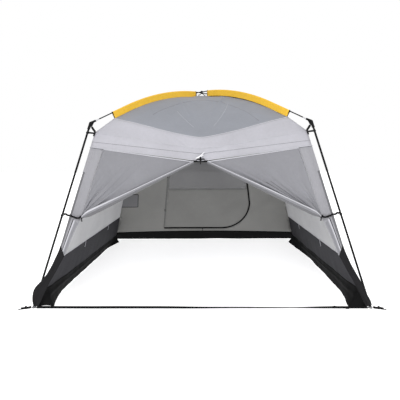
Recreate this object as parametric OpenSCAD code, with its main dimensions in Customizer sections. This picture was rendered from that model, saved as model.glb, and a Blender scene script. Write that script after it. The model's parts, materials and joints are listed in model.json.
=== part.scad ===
// Four-sided shelter: two crossed roof poles, four elbows, four two-piece legs and a hung canopy.
// The origin is the centre of the footprint on the ground. The open front faces -Y.

/* [Frame] */
// Distance between the feet along one side
base_w = 3050; // [2900:10:3200]
// Distance between the elbows along one side
eave_w = 2150; // [2050:10:2250]
// Height of the elbows' vertices
eave_h = 1695; // [1620:5:1760]
// Height of the lower roof pole's centre at the crossing
peak_h = 2141; // [2110:1:2170]
// Slope of the straight end of a roof pole, in degrees
pole_slope = 25.2; // [24:0.1:27]
// Diameter of a roof pole
pole_d = 11; // [9:0.5:12]
// Sections in the bent part of one roof pole
bend_sections = 5; // [3:2:7]
// Diameter of a leg tube
leg_d = 19; // [18:0.5:20]
// Wall of a leg tube
leg_wall = 1.2; // [1:0.1:1.6]
// Height of the joint in a leg, as a share of its length
leg_joint_at = 0.56; // [0.5:0.01:0.6]
// Length of a joint's spigot, and of the leg in an elbow
spigot_len = 80; // [75:5:100]

/* [Canopy] */
// Distance of the walls' corner edges inside the legs
wall_inset = 55; // [50:1:60]
// Thickness that stands for the cloth
cloth_t = 1.5; // [1.2:0.1:2]
// Depth of a pole sleeve below its pole
sleeve_drop = 66; // [60:1:70]
// Distance of a sleeve's lower end from the centre
sleeve_end_r = 1270; // [1240:5:1290]
// Sag of the roof's lower seam in the middle
seam_sag = 205; // [170:5:210]
// Distance that the middle of the lower seam stands out
seam_bulge = 145; // [120:5:160]
// Height of the brow's lower edge in the middle
header_mid_h = 1318; // [1290:2:1340]
// Height of the brow's lower edge at the corners
header_end_h = 1460; // [1440:2:1480]
// Top of the dark band along the side walls
band_top_h = 392; // [370:2:410]
// Bottom hem of the side walls
band_low_h = 70; // [60:2:90]
// Top of the black band along the back wall
back_band_h = 150; // [120:2:170]

/* [Doors] */
// Height of the tied-back curtains' ties
tie_h = 785; // [760:5:810]
// Height of the back door's straight lower zip
door_low_h = 204; // [200:2:220]
// Top of the back door
door_top_h = 1285; // [1260:5:1290]
// Sill of the mesh window and of the side windows
sill_h = 850; // [830:5:870]
// Radius of the back door's lower corner
door_corner_r = 430; // [400:5:450]

/* [Ground fittings] */
// Reach of a stake tab outwards along X
tab_reach_x = 113; // [100:1:120]
// Reach of a stake tab outwards along Y
tab_reach_y = 43; // [35:1:50]
// Radius of the hole in a stake eyelet
eyelet_r = 6; // [5:0.5:7]
// Width of the ground strap
strap_w = 25; // [20:1:30]

/* [Hidden] */
$fn = 48;

black = [0.08, 0.08, 0.09];
steel = [0.7, 0.7, 0.72];
yellow = [0.89, 0.70, 0.19];
roof_grey = [0.59, 0.61, 0.64];
pale_grey = [0.78, 0.77, 0.80];
wall_grey = [0.67, 0.67, 0.68];
mesh_grey = [0.45, 0.45, 0.47];
dark_grey = [0.24, 0.24, 0.26];

AZ_FL = 225;
AZ_FR = 315;
AZ_BR = 45;
AZ_BL = 135;
CORNERS = [AZ_FL, AZ_FR, AZ_BR, AZ_BL];

diag = sqrt(2);
foot_r = base_w / 2 * diag;
eave_r = eave_w / 2 * diag;
lean = (base_w - eave_w) / 2 / eave_h;
wall_tilt = atan(lean);
leg_tilt = atan(lean * diag);
leg_len = eave_h / cos(leg_tilt);
wall_b = base_w / 2 - wall_inset;
pole_r = pole_d / 2;
leg_r = leg_d / 2;
over_h = pole_d + 1;
fit_gap = 0.1;
edge_gap = 3;
round_fn = 48;
bend_fn = 960;

// Radius of a roof pole's bend, from the height of its top
function bend_r(top) = (eave_r * tan(pole_slope) - (top - eave_h)) / (1 / cos(pole_slope) - 1);

// Height of a roof pole's centre at a distance r from the peak
function pole_z(top, r) =
    let (b = bend_r(top))
    r < b * sin(pole_slope) ? top - b + sqrt(b * b - r * r) : eave_h + (eave_r - r) * tan(pole_slope);

// Half width of the walls at a height
function corner_x(z) = wall_b - lean * z;

// Height measured along the leaning wall
function up(z) = z / cos(wall_tilt);

// Height of the brow's lower edge at a distance x from the middle
function header_z(x) =
    header_mid_h + (header_end_h - header_mid_h) * abs(x) / corner_x(header_end_h);

// Places children with +Z up the leg's axis from its foot
module at_leg(az) {
    rotate([0, 0, az]) translate([foot_r, 0, 0]) rotate([0, -leg_tilt, 0]) children();
}

// Places children with +Z up the roof pole from the elbow's vertex
module at_pole_end(az) {
    rotate([0, 0, az]) translate([eave_r, 0, eave_h]) rotate([0, pole_slope - 90, 0]) children();
}

// Places children in a leaning wall: X along it, Y up it and Z outwards
module on_wall(turn) {
    rotate([0, 0, turn]) translate([0, -wall_b, 0]) rotate([90 - wall_tilt, 0, 0]) children();
}

// A round bar between two points, tapered if the radii differ
module bar(p, q, r1, r2) {
    d = q - p;
    translate(p) rotate([0, acos(d.z / norm(d)), atan2(d.y, d.x)])
        cylinder(h = norm(d), r1 = r1, r2 = r2);
}

// A closed sheet: a grid of points and the same grid moved by shift
module sheet(grid, shift) {
    rows = len(grid);
    cols = len(grid[0]);
    n = rows * cols;
    points = concat([for (row = grid) each row], [for (row = grid) for (p = row) p + shift]);
    faces = concat(
        [for (i = [0 : rows - 2]) for (j = [0 : cols - 2])
            each let (a = i * cols + j) [[a, a + 1, a + cols], [a + 1, a + cols + 1, a + cols],
                [a + n, a + cols + n, a + 1 + n], [a + 1 + n, a + cols + n, a + cols + 1 + n]]],
        [for (j = [0 : cols - 2]) for (end = [0, 1])
            each let (a = end * (rows - 1) * cols + j, b = a + 1)
                end == 0 ? [[a, a + n, b], [b, a + n, b + n]] : [[a, b, a + n], [b, b + n, a + n]]],
        [for (i = [0 : rows - 2]) for (end = [0, 1])
            each let (a = i * cols + end * (cols - 1), b = a + cols)
                end == 0 ? [[a, b, a + n], [b, b + n, a + n]] : [[a, a + n, b], [b, a + n, b + n]]]);
    polyhedron(points = points, faces = faces);
}

// ---- Roof poles ----

// A stretch of a roof pole's bend, between two angles from the crossing
module bend(az, top, from, to) {
    rotate([0, 0, az]) translate([0, 0, top - bend_r(top)]) rotate([90, 0, 0])
        rotate([0, 0, 90 - to]) rotate_extrude(angle = to - from, $fn = bend_fn)
            translate([bend_r(top), 0]) children();
}

// Length of the straight run at each end of a pole
function run_len(top) = (eave_r - bend_r(top) * sin(pole_slope)) / cos(pole_slope);

// Angle along the bend that a length covers
function bend_angle(top, len) = len / bend_r(top) * 180 / PI;

pole_seat = 14;
socket_len = 62;
ferrule_half = 40;
ferrule_short = 12;
ferrule_wall = 1;
joint_gap = 1;

// The bend's sections and the two straight end sections, a gap apart inside their ferrules
module roof_pole(az, top) {
    step = 2 * pole_slope / bend_sections;
    gap = bend_angle(top, joint_gap / 2);
    for (i = [0 : bend_sections - 1])
        bend(az, top, i * step - pole_slope + gap, (i + 1) * step - pole_slope - gap)
            circle(r = pole_r, $fn = round_fn);
    for (side = [0, 180])
        at_pole_end(az + side) translate([0, 0, pole_seat])
            cylinder(h = run_len(top) - pole_seat - joint_gap / 2, r = pole_r);
}

module roof_pole_a() {
    color(black) roof_pole(AZ_BR, peak_h);
}

module roof_pole_b() {
    color(black) roof_pole(AZ_BL, peak_h + over_h);
}

module ferrule_section() {
    difference() {
        circle(r = pole_r + ferrule_wall, $fn = round_fn);
        circle(r = pole_r + fit_gap / 2, $fn = round_fn);
    }
}

module pole_ferrules() {
    color(steel) for (pole = [[AZ_BR, peak_h], [AZ_BL, peak_h + over_h]]) {
        step = 2 * pole_slope / bend_sections;
        half = bend_angle(pole[1], ferrule_half);
        for (i = [1 : bend_sections - 1])
            bend(pole[0], pole[1], i * step - pole_slope - half, i * step - pole_slope + half)
                ferrule_section();
        for (side = [0, 180]) at_pole_end(pole[0] + side) {
            translate([0, 0, socket_len + 1]) linear_extrude(ferrule_half) ferrule_section();
            translate([0, 0, run_len(pole[1]) - 2 * ferrule_half + ferrule_short])
                linear_extrude(2 * ferrule_half) ferrule_section();
        }
    }
}

// ---- Elbows ----

leg_seat = 9;
elbow_wall = 3.5;

module elbow(az) {
    leg_socket_r = leg_r + elbow_wall;
    pole_socket_r = pole_r + elbow_wall;
    web_t = 9;
    web_reach = 50;
    color(black) difference() {
        union() {
            at_leg(az) translate([0, 0, leg_len - socket_len])
                cylinder(h = socket_len, r = leg_socket_r);
            at_leg(az) translate([0, 0, leg_len - socket_len])
                cylinder(h = 6, r = leg_socket_r + 1.5);
            at_leg(az) translate([0, 0, leg_len]) sphere(r = leg_socket_r);
            at_pole_end(az) cylinder(h = socket_len, r1 = leg_socket_r, r2 = pole_socket_r);
            at_pole_end(az) translate([0, 0, socket_len - 6]) cylinder(h = 6, r = pole_socket_r + 1.5);
            rotate([0, 0, az]) translate([eave_r, web_t / 2, eave_h]) rotate([90, 0, 0])
                linear_extrude(web_t) polygon([[0, 0],
                    [web_reach * sin(leg_tilt), -web_reach * cos(leg_tilt)],
                    [-16, -30],
                    [-web_reach * cos(pole_slope), web_reach * sin(pole_slope)]]);
        }
        at_leg(az) translate([0, 0, leg_len - socket_len - 1])
            cylinder(h = socket_len + 1 - leg_seat, r = leg_r + fit_gap);
        at_pole_end(az) translate([0, 0, pole_seat])
            cylinder(h = socket_len, r = pole_r + fit_gap);
    }
}

// ---- Legs ----

joint_h = leg_len * leg_joint_at;
leg_foot_gap = 10;
leg_top_gap = 0.5;

module upper_leg(az) {
    spigot_r = leg_r - leg_wall - fit_gap;
    color(black) at_leg(az) difference() {
        union() {
            translate([0, 0, joint_h + 0.5])
                cylinder(h = leg_len - leg_seat - leg_top_gap - 0.5 - joint_h, r = leg_r);
            translate([0, 0, joint_h - spigot_len]) cylinder(h = spigot_len + 1, r = spigot_r);
        }
        translate([0, 0, joint_h - spigot_len - 1]) cylinder(h = leg_len, r = spigot_r - leg_wall);
    }
}

module lower_leg(az) {
    color(black) at_leg(az) translate([0, 0, leg_foot_gap]) difference() {
        cylinder(h = joint_h - leg_foot_gap, r = leg_r);
        translate([0, 0, -1]) cylinder(h = joint_h, r = leg_r - leg_wall);
    }
}

foot_flange_r = 17;
foot_flange_t = 4;
cap_wall = 2.5;
cap_len = 45;

module foot_cap(az) {
    color(black) difference() {
        union() {
            intersection() {
                at_leg(az) translate([0, 0, -20]) cylinder(h = cap_len + 20, r = leg_r + cap_wall);
                rotate([0, 0, az]) translate([foot_r, 0, 50]) cube([200, 200, 100], center = true);
            }
            rotate([0, 0, az]) translate([foot_r, 0, 0]) cylinder(h = foot_flange_t, r = foot_flange_r);
        }
        at_leg(az) translate([0, 0, leg_foot_gap]) cylinder(h = cap_len, r = leg_r + fit_gap / 2);
    }
}

// ---- Sleeves ----

sleeve_r = 9;
sleeve_web_t = 3;
sleeve_start_r = 102;

// Cloth folded over the pole: wide at the pole and closed along the seam below it
module sleeve_section() {
    shoulder = sleeve_r - 0.4;
    difference() {
        union() {
            circle(r = sleeve_r, $fn = round_fn);
            polygon([[0, shoulder], [-sleeve_drop, sleeve_web_t / 2],
                [-sleeve_drop, -sleeve_web_t / 2], [0, -shoulder]]);
        }
        circle(r = pole_r + ferrule_wall + 0.4, $fn = round_fn);
    }
}

module sleeve(az, top) {
    start = asin(sleeve_start_r / bend_r(top));
    end_run = (sleeve_end_r - bend_r(top) * sin(pole_slope)) / cos(pole_slope);
    gap = bend_angle(top, joint_gap / 2);
    middle = (pole_slope + start) / 2;
    color(yellow) for (side = [0, 180]) {
        bend(az + side, top, -pole_slope + gap, -middle - gap) sleeve_section();
        bend(az + side, top, -middle + gap, -start) sleeve_section();
        at_pole_end(az + side) translate([0, 0, run_len(top) - end_run])
            linear_extrude(end_run - joint_gap / 2) sleeve_section();
    }
}

module sleeve_a() {
    sleeve(AZ_BR, peak_h);
}

module sleeve_b() {
    sleeve(AZ_BL, peak_h + over_h);
}

// ---- Roof and brow: four equal sides ----

ROOF_ROWS = 10;
ROOF_COLS = 14;
BROW_ROWS = 6;
seam_x = 885;
seam_round = 0.10;

// Height of the sleeves' lower edge at a distance x along both axes
function sleeve_z(x) = pole_z(peak_h + over_h / 2, x * diag) - sleeve_drop;

// How much of the sag a point has, from 1 in the middle to 0 at the sleeves
function sag_share(s) =
    1 - (sqrt(s * s + seam_round * seam_round) - seam_round)
        / (sqrt(1 + seam_round * seam_round) - seam_round);

// A point of the roof: s runs across from -1 to 1, t from the peak to the lower seam
function roof_point(s, t) =
    let (x = sleeve_start_r / diag + (seam_x - sleeve_start_r / diag) * t, q = sag_share(s))
    [s * (x - edge_gap), -x - 1 - seam_bulge * t * t * q, sleeve_z(x) - seam_sag * pow(t, 1.2) * q];

// The brow's outer edge from the sleeve past the eave corner to the header's end
function brow_edge(t) =
    let (eave_z = 1605)
    t < 0.5
        ? let (u = 2 * t, a = roof_point(1, 1)) [
            a.x + (corner_x(eave_z) - edge_gap - a.x) * u,
            a.y + (-corner_x(eave_z) - a.y) * u,
            a.z + (eave_z - a.z) * u]
        : let (u = 2 * t - 1, z = eave_z + (header_end_h - eave_z) * u)
            [corner_x(z) - edge_gap, -corner_x(z), z];

// A point of the brow: t runs from the seam down to the header's edge
function brow_point(s, t) =
    let (edge = brow_edge(t), seam_mid = roof_point(0, 1),
         mid = seam_mid + ([0, -corner_x(header_mid_h), header_mid_h] - seam_mid) * t,
         share = (1 - sag_share(s)) * (1 - t) + abs(s) * t,
         p = mid + (edge - mid) * share)
    [s * edge.x, p.y, p.z];

module roof(turn) {
    color(roof_grey) rotate([0, 0, turn]) sheet(
        [for (i = [0 : ROOF_ROWS]) [for (j = [0 : ROOF_COLS])
            roof_point(2 * j / ROOF_COLS - 1, i / ROOF_ROWS)]], [0, 0.5, -cloth_t]);
}

module brow(turn) {
    seam_gap = [0, -2, -3];
    color(pale_grey) rotate([0, 0, turn]) sheet(
        [for (i = [0 : BROW_ROWS]) [for (j = [0 : ROOF_COLS])
            brow_point(2 * j / ROOF_COLS - 1, i / BROW_ROWS) + seam_gap * (1 - i / BROW_ROWS)]],
        [0, cloth_t, -0.4]);
}

// ---- Side walls ----

seam_gap_w = 2;
window_side = 110;
window_top = 90;

// The outline of a wall between two heights, or up to the header when high is undef
function wall_outline(low, high) = [
    [-(corner_x(low) - edge_gap), up(low)],
    [corner_x(low) - edge_gap, up(low)],
    if (is_undef(high)) each [
        [corner_x(header_end_h) - edge_gap, up(header_end_h - 3 * seam_gap_w)],
        [0, up(header_mid_h - 3 * seam_gap_w)],
        [-(corner_x(header_end_h) - edge_gap), up(header_end_h - 3 * seam_gap_w)]],
    if (!is_undef(high)) each [
        [corner_x(high) - edge_gap, up(high)],
        [-(corner_x(high) - edge_gap), up(high)]]];

// The outline of a side window, drawn in by gap
function window_outline(gap) =
    let (low = sill_h + gap, x_low = corner_x(sill_h) - window_side - gap,
         x_high = corner_x(header_end_h) - window_side - gap)
    [[-x_low, up(low)], [x_low, up(low)],
     [x_high, up(header_z(x_high) - window_top - gap)],
     [0, up(header_mid_h - window_top - gap)],
     [-x_high, up(header_z(x_high) - window_top - gap)]];

module side_wall(turn) {
    color(wall_grey) on_wall(turn) linear_extrude(cloth_t) difference() {
        polygon(wall_outline(band_top_h + seam_gap_w, undef));
        polygon(window_outline(0));
    }
}

module side_mesh(turn) {
    color(mesh_grey) on_wall(turn) linear_extrude(cloth_t) polygon(window_outline(0.5));
}

module side_band(turn) {
    color(dark_grey) on_wall(turn) linear_extrude(cloth_t)
        polygon(wall_outline(band_low_h, band_top_h));
}

SKIRT_COLS = 24;
skirt_clear = 2;

// How far the skirt's ground edge lies inside the wall's hem at a share u from front to back
function skirt_in(u) = 22 + 75 * pow(max(0, 1 - 5 * u), 1.5) + 60 * pow(max(0, 8 * u - 7), 2)
    + 8 * sin(u * 1500);

// One side's skirt: side is 1 for the right and -1 for the left
module skirt(side) {
    top_z = band_low_h - seam_gap_w;
    front_y = -1495;
    back_y = 1440;
    color(black) sheet([for (i = [0 : 3]) [for (j = [0 : SKIRT_COLS])
        let (u = j / SKIRT_COLS, v = i / 3, y = front_y + (back_y - front_y) * u)
        [side * (corner_x(top_z) + 1 - skirt_in(u) * v * v), y, top_z + (skirt_clear - top_z) * v]]],
        [-side * cloth_t, 0, 0]);
}

module mirror_if(side) {
    if (side < 0) mirror([1, 0, 0]) children();
    else children();
}

// ---- Back wall and its door ----

door_left_x = -647;
door_right_x = 730;
door_left_lean = 0.118;
door_right_lean = 0.12;
door_top_r = 140;
zip_w = 8;
chain_gap = 4;
ARC_STEPS = 12;

// Left and right edges of the door at a height
function hinge_x(z) = door_left_x + door_left_lean * (z - door_low_h);
function latch_x(z) = door_right_x - door_right_lean * (z - door_low_h - door_corner_r);

// The door's outline, grown by g along its zipped edges, with its hinge edge moved by h
function door_outline(g, h) =
    let (low = up(door_low_h) - g, high = up(door_top_h) + g,
         corner_c = [door_right_x - door_corner_r, up(door_low_h) + door_corner_r],
         top_c = [latch_x(door_top_h) - door_top_r, up(door_top_h) - door_top_r])
    concat(
        [[hinge_x(door_low_h - g) + h, low]],
        [for (i = [0 : ARC_STEPS]) let (a = -90 + 90 * i / ARC_STEPS)
            corner_c + (door_corner_r + g) * [cos(a), sin(a)]],
        [for (i = [0 : ARC_STEPS]) let (a = 90 * i / ARC_STEPS)
            top_c + (door_top_r + g) * [cos(a), sin(a)]],
        [[hinge_x(door_top_h + g) + h, high]]);

// The back wall is sewn from panels round the doorway
module wall_back() {
    split = 0.5;
    hinge_gap = 1.5;
    grown = zip_w + chain_gap;
    low = up(door_low_h) - grown;
    high = up(door_top_h) + grown;
    bottom = up(back_band_h);
    out = corner_x(back_band_h);
    corner_c = [door_right_x - door_corner_r, up(door_low_h) + door_corner_r];
    color(wall_grey) on_wall(180) mirror([1, 0, 0]) linear_extrude(cloth_t) difference() {
        polygon(wall_outline(back_band_h + seam_gap_w, undef));
        polygon(door_outline(grown, -hinge_gap));
        translate([-out, low]) square([out + door_left_x, split]);
        translate([-out, high]) square([2 * out, split]);
        translate([corner_c.x, bottom]) square([split, low - bottom + 1]);
        translate([door_right_x, corner_c.y]) square([out, split]);
        translate(corner_c) rotate(-45) translate([door_corner_r, 0]) square([out, split]);
    }
}

module back_band() {
    color(black) on_wall(180) linear_extrude(cloth_t) polygon(wall_outline(6, back_band_h));
}

// Keeps the part of the door above the sill, inside a border
module window_area(border) {
    intersection() {
        translate([0, up(sill_h) + border]) translate([-1500, 0]) square([3000, 2000]);
        polygon(door_outline(-14 - border, 14 + border));
    }
}

module door_panel() {
    color(wall_grey) on_wall(180) mirror([1, 0, 0]) linear_extrude(cloth_t) difference() {
        polygon(door_outline(0, 0));
        window_area(0);
    }
}

module door_window() {
    color(mesh_grey) on_wall(180) mirror([1, 0, 0]) linear_extrude(cloth_t) window_area(0.5);
}

// The zip's ends stop short of the hinge edge, so that they clear the wall as the door swings
module door_zip() {
    end_gap = 6;
    color(black) on_wall(180) mirror([1, 0, 0]) linear_extrude(cloth_t + 1) difference() {
        polygon(door_outline(zip_w, end_gap));
        polygon(door_outline(0.2, -1));
    }
}

// Two toggles beside the hinge edge that hold the rolled door
module door_toggles() {
    color(black) on_wall(180) for (z = [507, 1060]) {
        translate([-(hinge_x(z) - 14), up(z), -3.2]) rotate([90, 0, 0]) cylinder(h = 34, r = 3, center = true);
        translate([-(hinge_x(z) - 14), up(z), -3.2]) cylinder(h = 3, r = 1.5);
    }
}

module pocket() {
    color(dark_grey) on_wall(180) mirror([1, 0, 0]) translate([-1330, up(560), -2])
        linear_extrude(cloth_t) polygon([[0, 0], [270, 0], [290, 215], [60, 215]]);
}

slider_x = -20;

// The slider grips the wall's side of the door's straight lower zip, with its pull indoors
module zip_slider() {
    bridge_w = chain_gap - 1.6;
    color(black) on_wall(180) translate([-slider_x, up(door_low_h) - zip_w - chain_gap / 2, 0]) {
        translate([-5, -10, -4.5]) cube([10, 18, 4]);
        translate([-5, -bridge_w / 2, -1]) cube([10, bridge_w, cloth_t + 2]);
        translate([-5, -10, cloth_t + 0.5]) cube([10, 10 + bridge_w / 2, 3]);
        translate([-4, -46, -4.5]) cube([8, 37, 2]);
    }
}

// ---- Front ----

jamb_top_x = 956;
jamb_tie_x = 1150;
jamb_tip = [1287, 438];
jamb_dark_h = 539;
apex_x = 70;

module jamb(side) {
    top_z = header_z(jamb_top_x) - 3 * seam_gap_w;
    color(pale_grey) mirror_if(side) on_wall(0) linear_extrude(cloth_t) polygon([
        [corner_x(header_end_h) - edge_gap, up(header_end_h - 3 * seam_gap_w)],
        [jamb_top_x, up(top_z)],
        [jamb_tie_x, up(tie_h)],
        [jamb_tip.x, up(jamb_tip.y)],
        [corner_x(jamb_dark_h) - edge_gap, up(jamb_dark_h)]]);
}

// The dark flap below each jamb passes in front of the leg's foot and bulges out beside it
module jamb_feet() {
    rows = 10;
    cols = 4;
    bulge = 40;
    color(dark_grey) for (side = [-1, 1]) mirror_if(side) sheet([for (i = [0 : rows]) [for (j = [0 : cols])
        let (v = i / rows, u = j / cols,
             z_out = 534 - 510 * v, z_in = 434 - 422 * v,
             turn = v * v * (3 - 2 * v),
             belly = pow(sin(180 * min(1, max(0, (v - 0.4) / 0.58))), 2),
             out = [corner_x(z_out) - edge_gap + (wall_inset + 15) * turn + bulge * belly,
                    -corner_x(z_out) - (wall_inset + 32) * min(1, 1.6 * turn + 0.3 * v), z_out],
             inner = [1287 + 205 * v, -corner_x(z_in) - (wall_inset + 32) * turn, z_in])
        out + (inner - out) * u]], [0, cloth_t, 0]);
}

module curtain(side) {
    roll_r1 = 12;
    roll_r2 = 22;
    apex = [apex_x, up(header_z(apex_x) - 20)];
    tie = [1118, up(tie_h + 18)];
    color(mesh_grey) mirror_if(side) on_wall(0) {
        linear_extrude(cloth_t) polygon([
            [jamb_top_x - 3, up(header_z(jamb_top_x) - 4 * seam_gap_w)],
            [apex_x - 15, up(header_z(apex_x) - 4 * seam_gap_w)],
            apex, tie,
            [jamb_tie_x - 5, up(tie_h + 12)]]);
        bar([apex.x, apex.y, 0], [tie.x, tie.y, 0], roll_r1, roll_r2);
    }
}

pull_hinge_h = 1322;
pull_out = 12;
pull_pin_r = 2;

// An ear of the slider beside the pull, with a hole for its pin
module pull_ear(side) {
    ear_t = 2.5;
    ear_r = 4;
    pin = [up(pull_hinge_h) - pull_out * sin(wall_tilt), pull_out * cos(wall_tilt)];
    translate([side * 6 - ear_t / 2, 0, 0]) rotate([90, 0, 90]) linear_extrude(ear_t) difference() {
        union() {
            translate(pin) circle(r = ear_r);
            translate([pin.x - 1, 4]) square([ear_r + 1, pin.y - 4]);
        }
        translate(pin) circle(r = pull_pin_r + fit_gap * 3);
    }
}

// Slider at the top of the doorway's two zips, with the side toggles of the curtains
module front_zip_slider() {
    color(black) on_wall(0) {
        translate([-6, up(header_mid_h) + 2, 2.2]) cube([12, 40, 5]);
        for (side = [-1, 1])
            pull_ear(side);
        for (side = [-1, 1])
            bar([side * 6.5, up(header_mid_h) + 18, 5], [side * 82, up(header_mid_h) + 14, 5], 4, 3);
    }
}

// A pull tab that hangs from the slider
module front_zip_pull() {
    color(black) translate([0, -corner_x(pull_hinge_h) - pull_out, pull_hinge_h]) {
        rotate([0, 90, 0]) cylinder(h = 14, r = pull_pin_r, center = true);
        translate([-4, -1, -34]) cube([8, 2, 34]);
    }
}

// ---- Straps, clips and rings ----

clip_in_r = leg_r + 0.8;
clip_out_r = 13.5;
clip_h = 14;
clip_mid_z = 820;
clip_top_z = 1602;

// A point on a leg's axis at a height
function leg_point(az, z) =
    let (r = foot_r - lean * diag * z) [r * cos(az), r * sin(az), z];

// A point on a wall's corner edge at a height
function edge_point(az, z) =
    let (r = (corner_x(z) + 1) * diag) [r * cos(az), r * sin(az), z];

module leg_clips() {
    color(black) for (az = CORNERS, z = [clip_mid_z, clip_top_z])
        at_leg(az) translate([0, 0, z / cos(leg_tilt) - clip_h / 2]) rotate([0, 0, 30])
            rotate_extrude(angle = 300) translate([clip_in_r, 0])
                square([clip_out_r - clip_in_r, clip_h]);
}

// The point on a clip's inner side
function clip_side(az, z, out) =
    leg_point(az, z) - out * [cos(az), sin(az), 0];

module corner_straps() {
    color(black) for (az = CORNERS) {
        bar(clip_side(az, clip_top_z, clip_out_r - 0.5), edge_point(az, clip_top_z - 4), 3, 3);
        bar(edge_point(az, 1616), clip_side(az, eave_h - 36, 24), 3, 3);
    }
}

module tiebacks() {
    color(black) {
        for (az = CORNERS)
            bar(clip_side(az, clip_mid_z, clip_out_r - 0.5), edge_point(az, clip_mid_z - 8), 3.5, 3.5);
        for (side = [-1, 1]) mirror_if(side) on_wall(0)
            bar([corner_x(clip_mid_z) - 4, up(clip_mid_z - 8), 6], [1128, up(tie_h), 26.5], 4, 4);
    }
}

module peak_tie() {
    plate_z = peak_h - pole_r - 6;
    color(black) {
        translate([0, 0, plate_z]) cylinder(h = 5, r = 16);
        for (az = CORNERS) {
            p = [70 * cos(az), 70 * sin(az), plate_z - 22];
            bar([13 * cos(az), 13 * sin(az), plate_z + 2], p, 3, 3);
        }
    }
}

ring_r = 17.5;
ring_wire_r = 2;
ring_z = 11;

function ring_centre(az) = leg_point(az, ring_z);

module corner_rings() {
    color(steel) for (az = CORNERS)
        translate(ring_centre(az)) rotate_extrude() translate([ring_r, 0]) circle(r = ring_wire_r);
}

strap_z = 3;
strap_t = 1.5;
strap_end_x = 1494;

strap_y = -1536;

// The strap between the front feet, with a link round the ring at each end
module ground_strap() {
    link_r = 3.8;
    wire_r = 1.2;
    ring = ring_centre(AZ_FR);
    link = [ring.x - ring_r / diag, ring.y - ring_r / diag, ring_z];
    color(black) {
        translate([-strap_end_x, strap_y - strap_w / 2, strap_z])
            cube([2 * strap_end_x, strap_w, strap_t]);
        for (side = [-1, 1]) mirror_if(side) {
            translate(link) rotate([0, 0, 45]) rotate([90, 0, 0])
                rotate_extrude() translate([link_r, 0]) circle(r = wire_r);
            bar([strap_end_x - 4, strap_y, strap_z + wire_r],
                [link.x - link_r / diag, link.y - link_r / diag, ring_z], wire_r, wire_r);
        }
    }
}

// The adjuster on the ground strap and the loose tail that it leaves
module strap_buckle() {
    buckle_x = 1296;
    size = [30, strap_w + 8, 8];
    tail = [106, 20, 1.5];
    color(black) {
        translate([buckle_x, strap_y - size.y / 2, 0.7]) difference() {
            cube(size);
            translate([-1, 3, strap_z - 1.2]) cube([size.x + 2, size.y - 6, strap_t + 1]);
        }
        translate([buckle_x - tail.x, strap_y - tail.y / 2, strap_z + strap_t + 2]) cube(tail);
    }
}

tab_w = 18;
tab_t = 2;
eyelet_out_r = 11;

// A webbing tab from each ring, with an adjuster and a riveted eyelet for a stake
module stake_tabs() {
    for (sx = [-1, 1], sy = [-1, 1]) {
        reach = [tab_reach_x, tab_reach_y];
        centre = [base_w / 2 + tab_reach_x, base_w / 2 + tab_reach_y];
        angle = atan2(reach.y, reach.x);
        start = foot_flange_r + 6;
        color(black) scale_sign(sx, sy) difference() {
            union() {
                translate([base_w / 2, base_w / 2, 1]) rotate([0, 0, angle])
                    translate([start, -tab_w / 2, 0]) cube([norm(reach) - start, tab_w, tab_t]);
                translate([centre.x, centre.y, 1]) cylinder(h = tab_t, r = eyelet_out_r + 2);
                translate([centre.x, centre.y, 0.5]) cylinder(h = tab_t + 1, r = eyelet_out_r);
                translate([base_w / 2, base_w / 2, 1]) rotate([0, 0, angle])
                    translate([norm(reach) * 0.5, -tab_w / 2 - 2, 0]) cube([14, tab_w + 4, 11]);
            }
            translate([centre.x, centre.y, -1]) cylinder(h = 10, r = eyelet_r);
        }
    }
}

module scale_sign(sx, sy) {
    mirror([sx < 0 ? 1 : 0, 0, 0]) mirror([0, sy < 0 ? 1 : 0, 0]) children();
}

roof_pole_a();
roof_pole_b();
pole_ferrules();
peak_tie();
elbow(AZ_FL);  // elbow_fl
elbow(AZ_FR);  // elbow_fr
elbow(AZ_BR);  // elbow_br
elbow(AZ_BL);  // elbow_bl
upper_leg(AZ_FL);  // upper_leg_fl
upper_leg(AZ_FR);  // upper_leg_fr
upper_leg(AZ_BR);  // upper_leg_br
upper_leg(AZ_BL);  // upper_leg_bl
lower_leg(AZ_FL);  // lower_leg_fl
lower_leg(AZ_FR);  // lower_leg_fr
lower_leg(AZ_BR);  // lower_leg_br
lower_leg(AZ_BL);  // lower_leg_bl
foot_cap(AZ_FL);  // foot_cap_fl
foot_cap(AZ_FR);  // foot_cap_fr
foot_cap(AZ_BR);  // foot_cap_br
foot_cap(AZ_BL);  // foot_cap_bl
sleeve_a();
sleeve_b();
roof(0);  // roof_front
roof(90);  // roof_right
roof(180);  // roof_back
roof(270);  // roof_left
brow(0);  // brow_front
brow(90);  // brow_right
brow(180);  // brow_back
brow(270);  // brow_left
side_wall(90);  // wall_right
side_wall(270);  // wall_left
side_mesh(90);  // mesh_right
side_mesh(270);  // mesh_left
side_band(90);  // band_right
side_band(270);  // band_left
wall_back();
back_band();
door_panel();
door_window();
door_zip();
door_toggles();
curtain(1);  // curtain_right
curtain(-1);  // curtain_left
jamb(1);  // jamb_right
jamb(-1);  // jamb_left
jamb_feet();
skirt(1);  // skirt_right
skirt(-1);  // skirt_left
pocket();
leg_clips();
corner_straps();
tiebacks();
front_zip_slider();
front_zip_pull();
zip_slider();
corner_rings();
ground_strap();
strap_buckle();
stake_tabs();
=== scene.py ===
import json
import math

import bpy
import numpy as np
from mathutils import Matrix, Vector, geometry, noise


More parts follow.
